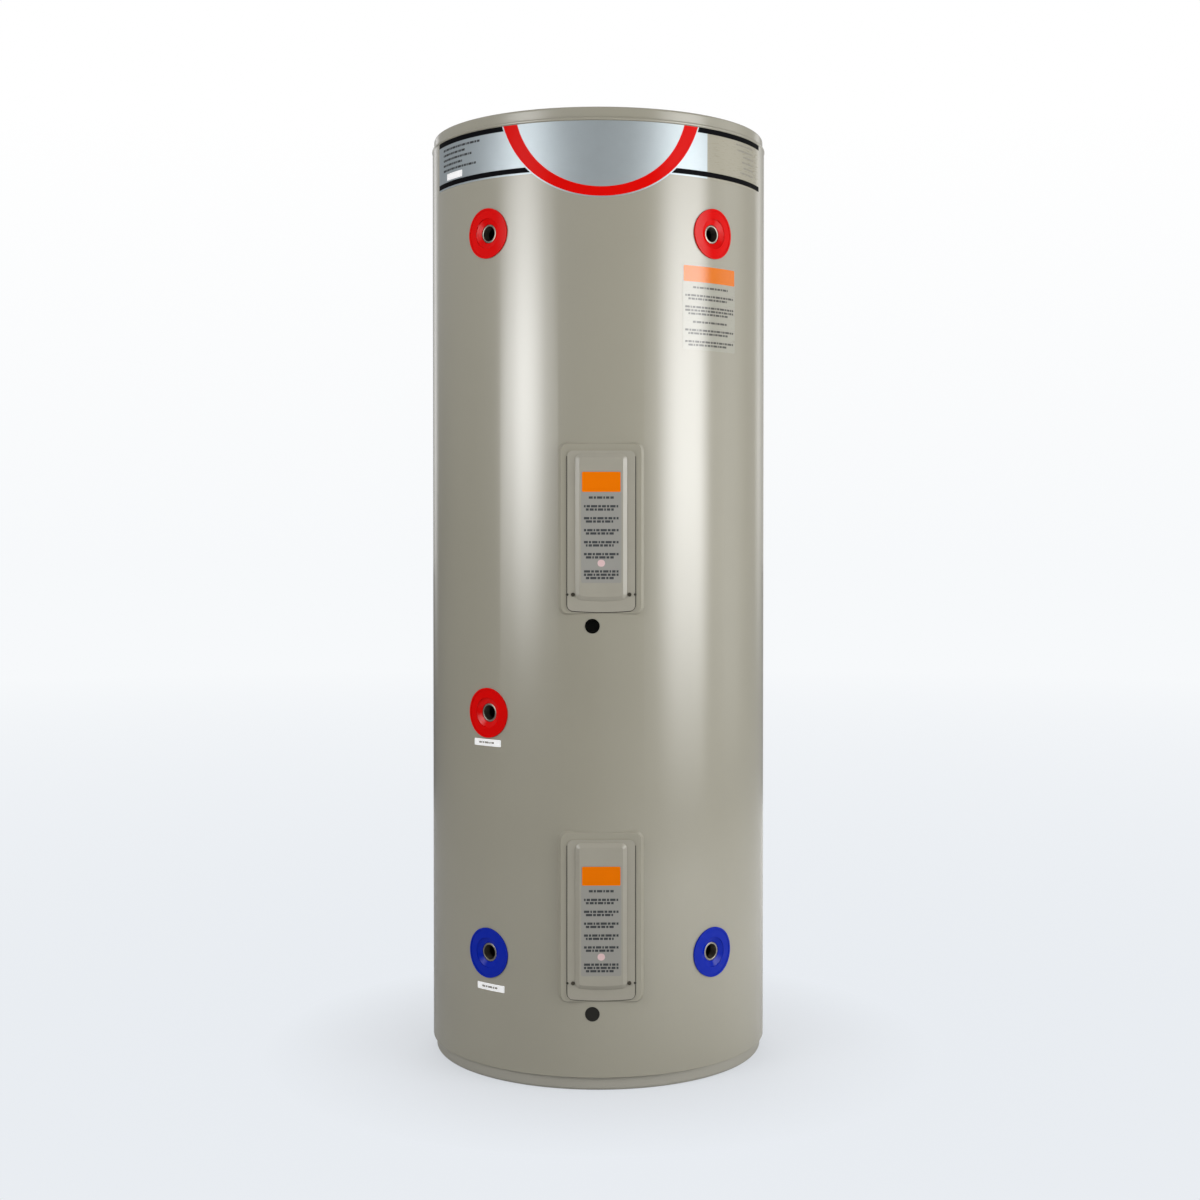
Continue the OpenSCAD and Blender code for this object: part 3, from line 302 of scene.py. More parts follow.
# %% Group: dust that settles on upward faces
tree, source, result = node_group("settled_dust", [("Amount", "Float", 0.2)],
                                  [("Mask", "Float")])
upward = add(tree, "SeparateXYZ", None,
             i0=add(tree, "NewGeometry").outputs["Normal"]).outputs["Z"]
where = add(tree, "TexCoord").outputs["Object"]
drift = add(tree, "TexNoise", None, Vector=where, Scale=14.0, Detail=5.0, Roughness=0.7)
caught = math_node(tree, "MULTIPLY", stretch(tree, upward, 0.35, 0.95),
                   stretch(tree, drift.outputs["Fac"], 0.3, 0.7))
tree.links.new(math_node(tree, "MULTIPLY", caught, source.outputs["Amount"]),
               result.inputs["Mask"])
print("group made:", tree.name)

# %% Group: edges that are never quite sharp
tree, source, result = node_group("soft_edges", [("Radius", "Float", 0.0006)],
                                  [("Normal", "Vector"), ("Mask", "Float")])
round_off = add(tree, "Bevel", {"samples": 4}, Radius=source.outputs["Radius"])
flat = add(tree, "NewGeometry").outputs["Normal"]
turned = add(tree, "VectorMath", {"operation": "DOT_PRODUCT"}, i0=round_off.outputs[0], i1=flat)
tree.links.new(round_off.outputs[0], result.inputs["Normal"])
# The mask marks the rounded edges, where the finishes paint a paler highlight.
tree.links.new(stretch(tree, turned.outputs["Value"], 0.98, 0.80), result.inputs["Mask"])
print("group made:", tree.name)

# %% [markdown]
# ## Finishes
# Every finish is a Principled shader with the groups in front of it. Colours are
# written as a paint maker would measure them, 0 to 255, and turned into light values
# by one function. Whatever is the same all over a surface is set straight on the
# shader.

# %% Material helpers
def paint_code(r, g, b):
    """A screen colour, 0 to 255, as the shader's linear colour."""
    return tuple(((v / 255 + 0.055) / 1.055) ** 2.4 if v > 10 else v / 255 / 12.92
                 for v in (r, g, b)) + (1.0,)


def use_group(tree, name, **values):
    """Places a node group, fills or links its inputs, and returns its outputs."""
    made = tree.nodes.new("ShaderNodeGroup")
    made.node_tree = bpy.data.node_groups[name]
    for key, value in values.items():
        if isinstance(value, bpy.types.NodeSocket):
            tree.links.new(value, made.inputs[key])
        else:
            made.inputs[key].default_value = value
    return made.outputs


def new_finish(name, **plain):
    """A material with its Principled shader; plain values go straight on the shader."""
    material = bpy.data.materials.new(name)
    material.use_nodes = True
    shader = material.node_tree.nodes["Principled BSDF"]
    for key, value in plain.items():
        shader.inputs[key.replace("_", " ")].default_value = value
    return material, material.node_tree, shader


def blend_colour(tree, mask, under, over):
    """One colour turning into another as the mask goes from 0 to 1."""
    made = add(tree, "Mix", {"data_type": "RGBA"}, i0=mask, i6=under, i7=over)
    return made.outputs[2]


def lighter(colour, gain, lift):
    """The paler shade that an edge shows where it catches the light."""
    return tuple(min(1.0, v * gain + lift) for v in colour[:3]) + (1.0,)


def press(tree, shader, height, depth, normal=None):
    """Presses a height pattern into the surface, depth in metres."""
    bump = add(tree, "Bump", None, Height=height, Strength=1.0, Distance=depth)
    if normal is not None:
        tree.links.new(normal, bump.inputs["Normal"])
    tree.links.new(bump.outputs[0], shader.inputs["Normal"])


DUST = paint_code(176, 170, 158)
print("material helpers ready")


# %% [markdown]
# ## Painted steel
# The casing, the lid and the base pan are thin steel, sprayed and baked. One flat
# colour would look like card. Real enamel has a faint orange peel under a hard clear
# surface, and that surface, not the colour, makes the long crisp highlights. So a
# clear coat lies over a slightly uneven base, and dust dulls what faces up.

# %% Painted steel
GLOSSY_IOR = 1.8      # the clear surface of baked enamel and of a laminate
PEEL_DEPTH = 0.00003


def painted_steel(name, colour, roughness=0.38, dust=0.18, coat=1.0):
    """Sheet steel under sprayed enamel: an even colour, orange peel, a clear surface."""
    material, tree, shader = new_finish(name, Coat_Weight=coat, Coat_Roughness=0.14,
                                        Coat_IOR=GLOSSY_IOR)
    base = use_group(tree, "uneven_colour", Colour=colour, Scale=3.5, Amount=0.035)
    dusty = use_group(tree, "settled_dust", Amount=dust)["Mask"]
    tree.links.new(blend_colour(tree, dusty, base["Colour"], DUST), shader.inputs["Base Color"])
    tree.links.new(stretch(tree, base["Mask"], 0.0, 1.0, roughness - 0.03, roughness + 0.04),
                   shader.inputs["Roughness"])
    press(tree, shader, use_group(tree, "orange_peel", Scale=300.0)["Height"], PEEL_DEPTH)
    return material


CASING = paint_code(162, 158, 142)
casing_enamel = painted_steel("casing_enamel", CASING)
lid_enamel = painted_steel("lid_enamel", CASING, dust=0.30)
pan_enamel = painted_steel("pan_enamel", paint_code(170, 167, 156), roughness=0.42, coat=0.5)
stand_enamel = painted_steel("stand_enamel", paint_code(45, 46, 48), roughness=0.55, coat=0.0)
print("painted finishes:", casing_enamel.name, lid_enamel.name, pan_enamel.name,
      stand_enamel.name)


# %% [markdown]
# ## Mouldings and rubber
# Covers, port rings, liners and the thermostat are injection moulded. The mould leaves a fine
# grain, and light catches the softened edges, which also get a painted highlight in their colour.
# Rubber is the same idea with a duller surface.

# %% Moulded parts
def moulded(name, colour, roughness=0.4, grain=0.00002, coat=0.0, dust=0.1, scale=1400.0,
            gloss=0.5):
    """Moulded plastic or rubber: fine grain, uneven gloss, softened edges with a painted
    highlight.
    """
    material, tree, shader = new_finish(name, Coat_Weight=coat, Coat_Roughness=0.06,
                                        Specular_IOR_Level=gloss)
    base = use_group(tree, "uneven_colour", Colour=colour, Scale=18.0, Amount=0.05)
    edges = use_group(tree, "soft_edges", Radius=0.0006)
    # Painted highlight: the colour turns paler along the softened edges.
    edge_highlight = blend_colour(tree, math_node(tree, "MULTIPLY", edges["Mask"], 0.12),
                        base["Colour"], lighter(colour, 1.25, 0.01))
    dusty = use_group(tree, "settled_dust", Amount=dust)["Mask"]
    tree.links.new(blend_colour(tree, dusty, edge_highlight, DUST), shader.inputs["Base Color"])
    pits = use_group(tree, "mould_grain", Scale=scale)
    tree.links.new(stretch(tree, pits["Mask"], 0.0, 1.0, roughness - 0.05, roughness + 0.06),
                   shader.inputs["Roughness"])
    press(tree, shader, pits["Height"], grain, edges["Normal"])
    return material


cover_plastic = moulded("cover_plastic", paint_code(166, 162, 149), 0.36, coat=0.4)
RING = dict(roughness=0.45, grain=0.000006, coat=0.4, gloss=0.0, dust=0.0)
hot_plastic = moulded("hot_ring_plastic", paint_code(228, 3, 2), **RING)
cold_plastic = moulded("cold_ring_plastic", paint_code(2, 38, 176), **RING)
liner_plastic = moulded("liner_plastic", paint_code(128, 127, 120), 0.55)
black_rubber = moulded("black_rubber", paint_code(7, 7, 7), 0.75, scale=900.0, gloss=0.05,
                       dust=0.03)
plug_plastic = moulded("plug_plastic", paint_code(38, 37, 34), 0.6, gloss=0.2)
# A dark grey that paints the shadow of the gap round each cover.
gasket_rubber = moulded("gasket_rubber", paint_code(70, 68, 62), 0.7, gloss=0.2)
phenolic = moulded("thermostat_phenolic", paint_code(38, 36, 35), 0.42, scale=2200.0)
dial_plastic = moulded("dial_plastic", paint_code(226, 222, 208), 0.38)
button_plastic = moulded("button_plastic", paint_code(190, 22, 18), 0.28, coat=0.5)
print("moulded finishes made")


# %% [markdown]
# ## Bare metals
# Stainless sheet is brushed along its roll, turned brass and zinc-plated steel are
# a little cloudy. All are metallic shaders; what differs is the colour, how rough
# they are and which way the lines run.

# %% Metals
def bare_metal(name, colour, roughness, stretched=(30.0, 30.0, 1500.0)):
    """A bare or plated metal with fine lines and a painted highlight along its edges."""
    material, tree, shader = new_finish(name, Metallic=1.0)
    base = use_group(tree, "uneven_colour", Colour=colour, Scale=30.0, Amount=0.10)
    edges = use_group(tree, "soft_edges", Radius=0.0003)
    # Painted highlight: the colour turns paler along the edges.
    bright = math_node(tree, "MULTIPLY", edges["Mask"], 0.5)
    tree.links.new(blend_colour(tree, bright, base["Colour"], lighter(colour, 1.2, 0.03)),
                   shader.inputs["Base Color"])
    lines = use_group(tree, "brushed_lines", Stretch=stretched)
    tree.links.new(stretch(tree, lines["Mask"], 0.0, 1.0, roughness - 0.06, roughness + 0.08),
                   shader.inputs["Roughness"])
    press(tree, shader, lines["Height"], 0.000008, edges["Normal"])
    return material


TURNED, PLATED, CLOUDED = (400.0,) * 3, (300.0,) * 3, (200.0,) * 3
tank_steel = bare_metal("tank_steel", paint_code(196, 196, 192), 0.34)
socket_steel = bare_metal("socket_steel", paint_code(168, 163, 152), 0.30, TURNED)
# Darker steel for the bore: painted shade inside the hole.
bore_shade_steel = bare_metal("bore_shade_steel", paint_code(74, 70, 62), 0.34, TURNED)
seat_steel = bare_metal("seat_steel", paint_code(178, 178, 176), 0.42)
element_alloy = bare_metal("element_alloy", paint_code(172, 168, 160), 0.36, CLOUDED)
zinc = bare_metal("bolt_zinc", paint_code(196, 192, 176), 0.34, PLATED)
dark_zinc = bare_metal("screw_dark_zinc", paint_code(96, 92, 82), 0.40, PLATED)
spring_steel = bare_metal("spring_steel", paint_code(190, 188, 182), 0.30)
brass = bare_metal("terminal_brass", paint_code(212, 176, 104), 0.28, PLATED)
print("metal finishes made")

# %% [markdown]
# ## The poured foam
# Poured foam shows a skin of small closed cells. A cell pattern drives both the colour, darker in
# each cell's hollow as painted shade, and the bump.

# %% Foam
foam, tree, shader = new_finish("poured_foam", Roughness=0.9)
where = add(tree, "TexCoord").outputs["Object"]
cells = add(tree, "TexVoronoi", None, Vector=where, Scale=420.0)
hollow = stretch(tree, cells.outputs["Distance"], 0.0, 0.6)
base = use_group(tree, "uneven_colour", Colour=paint_code(232, 210, 158), Scale=8.0,
                 Amount=0.14)
# Painted shade: the colour darkens towards the middle of each cell, where the bump sinks in.
tree.links.new(blend_colour(tree, hollow, paint_code(196, 168, 112), base["Colour"]),
               shader.inputs["Base Color"])
CELL_DEPTH = 0.0012
press(tree, shader, cells.outputs["Distance"], CELL_DEPTH)
print("foam finish made")

# %% [markdown]
# ## Dress the solid parts
# On the real heater each part is made in its own shop and arrives with its finish.
# Here each part keeps its own mesh too, and gets its finish by the start of its name,
# so a pair of parts, upper and lower, can't end up with different ones. The first
# start that fits wins, which is why the stand ring comes before the rest of the tank.

# %% Give every part its finish
FINISHES = {
    casing_enamel: ("jacket",), lid_enamel: ("lid",), pan_enamel: ("base_pan",),
    stand_enamel: ("tank_stand_ring",), foam: ("foam_insulation",),
    tank_steel: ("tank_", "hot_pickup", "cold_diffuser"), socket_steel: ("socket_",),
    hot_plastic: ("port_ring_hot",), cold_plastic: ("port_ring_cold",),
    cover_plastic: ("access_cover",), dark_zinc: ("cover_screws",),
    black_rubber: ("conduit_grommet", "element_gasket"), plug_plastic: ("conduit_plug",),
    liner_plastic: ("compartment_liner",), seat_steel: ("element_seat", "entry_plate"),
    element_alloy: ("heating_element",), zinc: ("element_bolts",),
    phenolic: ("thermostat_body",), dial_plastic: ("thermostat_dial",),
    button_plastic: ("reset_button",), spring_steel: ("thermostat_clip",),
    brass: ("terminal_screws", "link_bars", "earth_stud")}


def dress(piece, material):
    """Puts one finish in every material slot of a piece."""
    if not piece.data.materials:
        piece.data.materials.append(material)
    for held in piece.material_slots:
        held.material = material


dressed = set()
for material, starts in FINISHES.items():
    for name, piece in nodes.items():
        if name not in dressed and name.startswith(starts):
            dress(piece, material)
            dressed.add(name)
print("dressed", len(dressed), "of", len(nodes), "parts; left:", sorted(set(nodes) - dressed))

# %% [markdown]
# ## Printed films
# The band round the top is metallised foil, the stickers are vinyl. Ink could be
# mixed into their colour, but it is a separate film a tenth of a millimetre higher, so
# that stripes and strokes stay crisp at any distance.

# %% Film and ink finishes
def vinyl(name, colour, roughness=0.3, metallic=0.0, coat=0.8, amount=0.03, gloss=0.5,
          laminate=False, glow=0.0):
    """Printed film; metallic for foil. A laminate shines like the casing's own paint, and glow
    gives a film a painted glow of its own colour, which keeps a white bright in shade."""
    weight, dullness, ior = (0.85, 0.09, GLOSSY_IOR) if laminate else (coat, 0.05, 1.5)
    material, tree, shader = new_finish(
        name, Metallic=metallic, Specular_IOR_Level=gloss, Coat_Weight=weight,
        Coat_Roughness=dullness, Coat_IOR=ior, Emission_Color=colour, Emission_Strength=glow)
    base = use_group(tree, "uneven_colour", Colour=colour, Scale=25.0, Amount=amount)
    tree.links.new(base["Colour"], shader.inputs["Base Color"])
    lines = use_group(tree, "brushed_lines", Stretch=(60.0, 60.0, 900.0))
    tree.links.new(stretch(tree, lines["Mask"], 0.0, 1.0, roughness - 0.04, roughness + 0.05),
                   shader.inputs["Roughness"])
    press(tree, shader, lines["Height"], 0.000003)
    return material


foil = vinyl("band_foil", paint_code(190, 200, 205), 0.45, metallic=0.75, coat=0.15, amount=0.05)
casing_film = vinyl("casing_film", paint_code(170, 165, 147))
sheet_film = vinyl("sheet_film", paint_code(169, 167, 154), laminate=True)
sheet_orange = vinyl("sheet_orange", paint_code(236, 122, 0), 0.5, laminate=True, gloss=0.0)
sheet_ink = vinyl("sheet_ink", paint_code(84, 84, 80), 0.5, laminate=True, gloss=0.0)
cover_film = vinyl("cover_film", paint_code(157, 156, 150), 0.4, coat=0.2, gloss=0.3)
# The white film glows a little of its own colour: painted light that keeps the white bright where
# it sits in shade.
white_film = vinyl("white_film", paint_code(250, 250, 250), coat=0.2, glow=0.22)
black_ink = vinyl("black_ink", paint_code(10, 10, 14), 0.6, coat=0.0, gloss=0.05)
red_ink = vinyl("red_ink", paint_code(230, 10, 5), 0.5, coat=0.12, gloss=0.0)
orange_ink = vinyl("orange_ink", paint_code(244, 122, 6), 0.5, coat=0.02, gloss=0.0)
rose_ink = vinyl("rose_ink", paint_code(226, 196, 196), 0.5, coat=0.1, gloss=0.2)
print_ink = vinyl("print_ink", paint_code(72, 74, 76), 0.6, coat=0.0, gloss=0.1)
grey_ink = vinyl("grey_ink", paint_code(150, 148, 140), 0.6, coat=0.1, gloss=0.2)
print("film finishes made")

# %% [markdown]
# ## The band
# The foil runs most of the way round the front, edged by two black stripes. A wide
# panel with a red edge and a narrow foil margin hangs a little below it. Its shape is
# a plain one: the foot of a large disc, left bare. At the right the band is a clear
# film over the casing's own colour. Print is only hinted at: rows of short strokes,
# as a drawing shows text that is too small to read, so nothing on the heater spells
# a word.

# %% Band and stripes
BAND_END = 0.387
BAND_LOW, BAND_HIGH = 1.628, 1.7175
CLEAR_START = 0.206
STRIPE = 0.0092


def level(z):
    """A straight edge at height z."""
    return lambda u: z


def fixed(piece, material, body="heater"):
    """Gives a flat piece its finish and fixes it to a body."""
    dress(piece, material)
    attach(piece, body)
    for face in piece.data.polygons:
        face.use_smooth = False
    return piece


for name, start, end, material in (("band_foil", -BAND_END, CLEAR_START, foil),
                                   ("band_clear_end", CLEAR_START, BAND_END, casing_film)):
    fixed(film(name, spread(start, end), level(BAND_LOW), level(BAND_HIGH), FILM, on_casing),
          material)
for name, middle in (("band_stripe_upper", 1.7131), ("band_stripe_lower", 1.6356)):
    fixed(film(name, spread(-BAND_END, BAND_END), level(middle - STRIPE / 2),
               level(middle + STRIPE / 2), INK, on_casing), black_ink)
print("band from", BAND_LOW, "to", BAND_HIGH)


# %% Centre panel
RED_CENTRE, RED_RADIUS = 1.7790, 0.1940
MARGIN = 0.0024


def disc_edge(centre, radius):
    """The lower edge of a disc that the band's upper edge cuts off."""
    return lambda u: min(centre - math.sqrt(max(radius ** 2 - u ** 2, 0.0)),
                         BAND_HIGH - 0.0002)


for name, centre, radius, lift, material in (
        ("panel_margin", RED_CENTRE, RED_RADIUS + MARGIN, 0.00025, foil),
        ("panel_red_edge", RED_CENTRE, RED_RADIUS, 0.00030, red_ink),
        ("panel_foil", 1.7627, 0.1610, 0.00040, foil)):
    half = math.sqrt(radius ** 2 - (centre - BAND_HIGH) ** 2)
    fixed(film(name, spread(-half, half, 0.003), disc_edge(centre, radius),
               level(BAND_HIGH), lift, on_casing), material)
print("panel hangs", round(BAND_LOW - (RED_CENTRE - RED_RADIUS), 4), "m below the band")

# %% Strokes that stand for print
WORDS = (0.007, 0.004, 0.0095, 0.003, 0.006, 0.011, 0.005)      # lengths of the strokes
WORD_SPACE = 0.0017


def join(name, parts):
    """Joins loose parts into the first and names it."""
    bm = bmesh.new()
    for part in parts:
        bm.from_mesh(part.data)
        bpy.data.objects.remove(part)
    return as_object(name, bm)


def strokes(start, end, z, tall, first, lift, place):
    """One row of strokes of uneven length from start to end."""
    row, u, i = [], start, first
    while u < end - 0.002:
        stop = min(u + WORDS[i % len(WORDS)], end)
        row.append(film("stroke", spread(u, stop), level(z - tall / 2), level(z + tall / 2),
                        lift, place))
        u, i = stop + WORD_SPACE, i + 1
    return row


def printed(name, rows, tall, lift, place, ink, body="heater"):
    """Rows of strokes, each (start, end, height), as one piece."""
    parts = [part for i, (start, end, z) in enumerate(rows)
             for part in strokes(start, end, z, tall, 3 * i, lift, place)]
    fixed(join(name, parts), ink, body)


LEFT_ENDS = (-0.240, -0.282, -0.262, -0.290, -0.250)
RIGHT_STARTS = (0.285, 0.290, 0.310, 0.306, 0.312, 0.300)
printed("band_data_left",
        [(-0.362, end, 1.700 - 0.0095 * i) for i, end in enumerate(LEFT_ENDS)],
        0.0040, INK, on_casing, print_ink)
fixed(card("band_blank_field", -0.346, -0.290, 1.6430, 1.6550, 0.001, INK, on_casing),
      white_film)
printed("band_data_right",
        [(start, 0.352, 1.702 - 0.010 * i) for i, start in enumerate(RIGHT_STARTS)],
        0.0030, INK, on_casing, grey_ink)
print("rows of strokes on the band:", len(LEFT_ENDS) + len(RIGHT_STARTS))

# %% [markdown]
# ## Service cards and tags
# Each card has an orange head and blocks of strokes. The last row of a block is
# short, as at the end of a paragraph. The card on the casing is laminated, so the
# lamp's reflection runs across it; those on the covers are matt, and carry a small
# round rose seal. Two white tags stick under the two lower ports at the left.

# %% Service cards
RIM = 0.0015            # between a card's edge and its orange head
SIDE_MARGIN = 0.005     # beside the strokes
ABOVE, BELOW = 0.007, 0.006
SEAL_HALF_WIDTH, SEAL_HALF_HEIGHT = 0.0066, 0.0062


def service_card(name, start, end, bottom, top, head, blocks, place, body, inks, tall, pitch,
                 seal=None):
    """A blank service card: the sheet, its orange head and its blocks of strokes.
    blocks gives the rows in each block, where 0 leaves room for the seal, and seal is
    the height of the round seal."""
    field, head_ink, ink = inks
    fixed(card(name + "_sheet", start, end, bottom, top, 0.003, FILM, place), field, body)
    fixed(card(name + "_head", start + RIM, end - RIM, top - head, top - RIM, 0.002,
               FILM + ON_CARD, place), head_ink, body)
    rows, z, left, right = [], top - head - ABOVE, start + SIDE_MARGIN, end - SIDE_MARGIN
    gap = (z - bottom - BELOW - pitch * sum(blocks)) / (len(blocks) - 1)
    for block in blocks:
        for i in range(block):
            short = i == block - 1
            inset = (right - left) * (0.14 if short else 0.0)
            rows.append((left + inset * (0.4 if block > 1 else 1.0), right - inset, z - pitch / 2))
            z -= pitch
        z -= gap
    printed(name + "_print", rows, tall, FILM + ON_CARD, place, ink, body)
    if seal is not None:
        middle = (start + end) / 2
        fixed(card(name + "_seal", middle - SEAL_HALF_WIDTH, middle + SEAL_HALF_WIDTH,
                   seal - SEAL_HALF_HEIGHT, seal + SEAL_HALF_HEIGHT, 0.0060,
                   FILM + 0.0001, place), rose_ink, body)


LAMINATED = (sheet_film, sheet_orange, sheet_ink)
MATT = (cover_film, orange_ink, print_ink)
service_card("casing_card", 0.152, 0.281, 1.319, 1.471, 0.030, (1, 2, 3, 1, 2, 2), on_casing,
             "heater", LAMINATED, 0.0036, 0.0060)
for side, bottom, top, head, seal in (("upper", 0.9030, 1.1005, 0.037, 0.9380),
                                      ("lower", 0.2080, 0.4035, 0.035, 0.2420)):
    service_card(side + "_cover_card", -0.0355, 0.0355, bottom, top, head,
                 (1, 2, 2, 2, 2, 2, 0, 3), on_cover, side + "_cover", MATT, 0.0041, 0.0058, seal)
for name, u, z in (("middle_port_tag", -0.2226, 0.6120), ("lower_port_tag", -0.2150, 0.1690)):
    fixed(card(name, u - 0.032, u + 0.032, z - 0.0062, z + 0.0062, 0.001, FILM, on_casing),
          white_film)
    printed(name + "_print", [(u - 0.020, u + 0.020, z)], 0.0036, INK, on_casing, grey_ink)
print("cards and tags placed")

# %% [markdown]
# ## Dark lips at the cover edges
# A thin dark lip runs all along the sides and the foot of each cover's flange, and two small dark
# discs fill the notches beside the screws. Both are painted shadow: they draw the dark line of the
# gap that tells where the cover ends. The lip is swept along the flange's own outline: a rounded
# rectangle whose foot is slightly bowed.

# %% Lips and discs of painted shadow
FLAT = -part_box("jacket")[0].y
FLANGE_CORNER = 0.010
FOOT_BOW = 0.003
LIP_INNER, LIP_OUTER = 0.00005, 0.0014
NOTCH_AT = 0.060


def flange_path(side, grow):
    """Points down one side of a cover's flange, along its foot and up the other."""
    low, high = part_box("access_cover_" + side)
    half, corner, top = high.x + grow, FLANGE_CORNER + grow, high.z - FLANGE_CORNER
    foot = [(u, low.z - grow + corner_drop(u, -half, half, corner) + FOOT_BOW * (u / half) ** 2)
            for u in rounded_columns(-half, half, corner, 0.012)]
    return [(-half, top)] + foot + [(half, top)]


for side in ("upper", "lower"):
    bm = bmesh.new()
    rows = []
    for (u0, z0), (u1, z1) in zip(flange_path(side, LIP_INNER), flange_path(side, LIP_OUTER)):
        rows.append([bm.verts.new((u, -FLAT - out, z)) for u, out, z in
                     ((u0, 0.0001, z0), (u0, 0.0012, z0), (u1, 0.0008, z1), (u1, 0.0001, z1))])
    skin(bm, rows)
    middle = sum(v.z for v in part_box("cover_screws_" + side)) / 2
    # Two small dark discs paint the shadow in the notches beside the screws.
    for u in (-NOTCH_AT, NOTCH_AT):
        where = (Matrix.Translation((u, -FLAT - 0.0006, middle))
                 @ Matrix.Rotation(math.pi / 2, 4, "X"))
        bmesh.ops.create_cone(bm, cap_ends=True, segments=24, radius1=0.0023,
                              radius2=0.0021, depth=0.0009, matrix=where)
    bmesh.ops.recalc_face_normals(bm, faces=bm.faces)
    fixed(as_object(side + "_cover_gap_shadow", bm), gasket_rubber, side + "_cover")
print("gap_shadows laid")

# %% [markdown]
# ## Threads in the sockets
# A female pipe thread is a groove that climbs round the bore. Its depth can't come from a bump,
# because the light grazes it, so the inner wall is a real grid of points: the radius depends on
# how far along the pitch each point lies. The bore is given a darker steel than the face, as
# painted shade for the inside of the hole.

# %% Threaded sockets
THREAD_PITCH = 0.001814
THREAD_MINOR, THREAD_MAJOR = 0.01206, 0.01316
THREAD_LENGTH = 0.0165
SOCKET_RADIUS, CHAMFER = 0.01675, 0.0006
MOUTH = 0.0003      # how far the bore opens out at its face
AROUND = 72
STEPS_PER_PITCH = 6


def thread_radius(depth, turn):
    """Radius of the bore at a depth below the face and a part of a turn."""
    phase = (depth / THREAD_PITCH + turn) % 1.0
    groove = 1.0 - abs(2.0 * phase - 1.0)
    fade = min(1.0, max(0.0, (THREAD_LENGTH - depth) / (2 * THREAD_PITCH)))
    cut = (THREAD_MAJOR - THREAD_MINOR) * min(1.0, groove * 1.15) * fade
    return max(THREAD_MINOR + cut, THREAD_MAJOR + MOUTH - depth)


def threaded_socket(name, face, axis, length):
    """A socket with a chamfered face and a real thread, then a plain bore."""
    side = Vector((0, 0, 1)).cross(axis).normalized()
    up = axis.cross(side)
    outside = ((SOCKET_RADIUS, -length), (SOCKET_RADIUS, -CHAMFER),
               (SOCKET_RADIUS - CHAMFER, 0.0))
    count = round(THREAD_LENGTH / THREAD_PITCH * STEPS_PER_PITCH)
    bm = bmesh.new()

    def ring(radius_of, along):
        made = []
        for i in range(AROUND):
            a = 2 * math.pi * i / AROUND
            r = radius_of(i / AROUND)
            made.append(bm.verts.new(face + axis * along
                                     + side * (r * math.cos(a)) + up * (r * math.sin(a))))
        return made

    levels = [ring(lambda t, r=r: r, w) for r, w in outside]
    for k in range(count + 1):
        depth = THREAD_LENGTH * k / count
        levels.append(ring(lambda t, d=depth: thread_radius(d, t), -depth))
    levels.append(ring(lambda t: THREAD_MINOR, -length))
    for low, high in zip(levels, levels[1:] + levels[:1]):
        for i in range(AROUND):
            j = (i + 1) % AROUND
            bm.faces.new((low[i], low[j], high[j], high[i]))
    bmesh.ops.recalc_face_normals(bm, faces=bm.faces)
    return as_object(name, bm)


for port, (spot, axis) in PORTS.items():
    node = "socket_" + port
    reach = [Vector(v.co).dot(axis) for v in nodes[node].data.vertices]
    start, end = min(reach), max(reach)
    face = spot + axis * (end - spot.dot(axis))
    piece = threaded_socket("threaded_" + node, face, axis, end - start)
    dress(piece, socket_steel)
    piece.data.materials.append(bore_shade_steel)
    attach(piece, "heater")
    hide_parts(node)
    for polygon in piece.data.polygons:
        polygon.use_smooth = True
        off = polygon.center - face
        # The bore's faces take the darker steel: painted shade for the inside of the hole.
        polygon.material_index = int((off - axis * off.dot(axis)).length < THREAD_MAJOR + 0.0004)
print("threads cut in", len(PORTS), "sockets")

# %% [markdown]
# ## The studio
# A pale floor runs far back and blends into a white surround. Near the heater the
# floor is partly a real matt surface, so it holds the shadow; further out it only
# glows for the camera, which keeps the background even. For the light that it throws
# back, the floor is paler on the right, which lifts that side of the casing. The
# paint mirrors a dimmer room than the camera sees, so its reflections stay readable.

# %% World
def grey(v):
    """An even grey of light value v."""
    return (v, v, v, 1.0)


def straight_ray(tree, ray):
    """1 for what the camera sees, directly or through glass."""
    return math_node(tree, "MAXIMUM", ray["Is Camera Ray"], ray["Is Transmission Ray"])


HORIZON = paint_code(247, 249, 251)
AMBIENT = grey(0.32)
world = bpy.data.worlds.new("studio_surround")
bpy.context.scene.world = world
world.use_nodes = True
tree = world.node_tree
background = tree.nodes["Background"]
ray = add(tree, "LightPath").outputs
facing = add(tree, "SeparateXYZ", None, i0=add(tree, "TexCoord").outputs["Generated"]).outputs
sky = blend_colour(tree, stretch(tree, facing["Z"], -0.02, 0.22), HORIZON, grey(1.0))
left_wall = stretch(tree, facing["Z"], -0.02, 0.16, 0.10, 0.32)
room = blend_colour(tree, stretch(tree, facing["X"], -0.5, 0.7), left_wall,
                    (0.31, 0.30, 0.28, 1.0))
behind = blend_colour(tree, stretch(tree, facing["X"], -0.3, 0.3), grey(0.34),
                      (0.52, 0.52, 0.50, 1.0))
mirrored = blend_colour(tree, stretch(tree, facing["Y"], 0.85, 0.98), room, behind)
lit = blend_colour(tree, ray["Is Glossy Ray"], AMBIENT, mirrored)
tree.links.new(blend_colour(tree, straight_ray(tree, ray), lit, sky),
               background.inputs["Color"])
print("surround made")

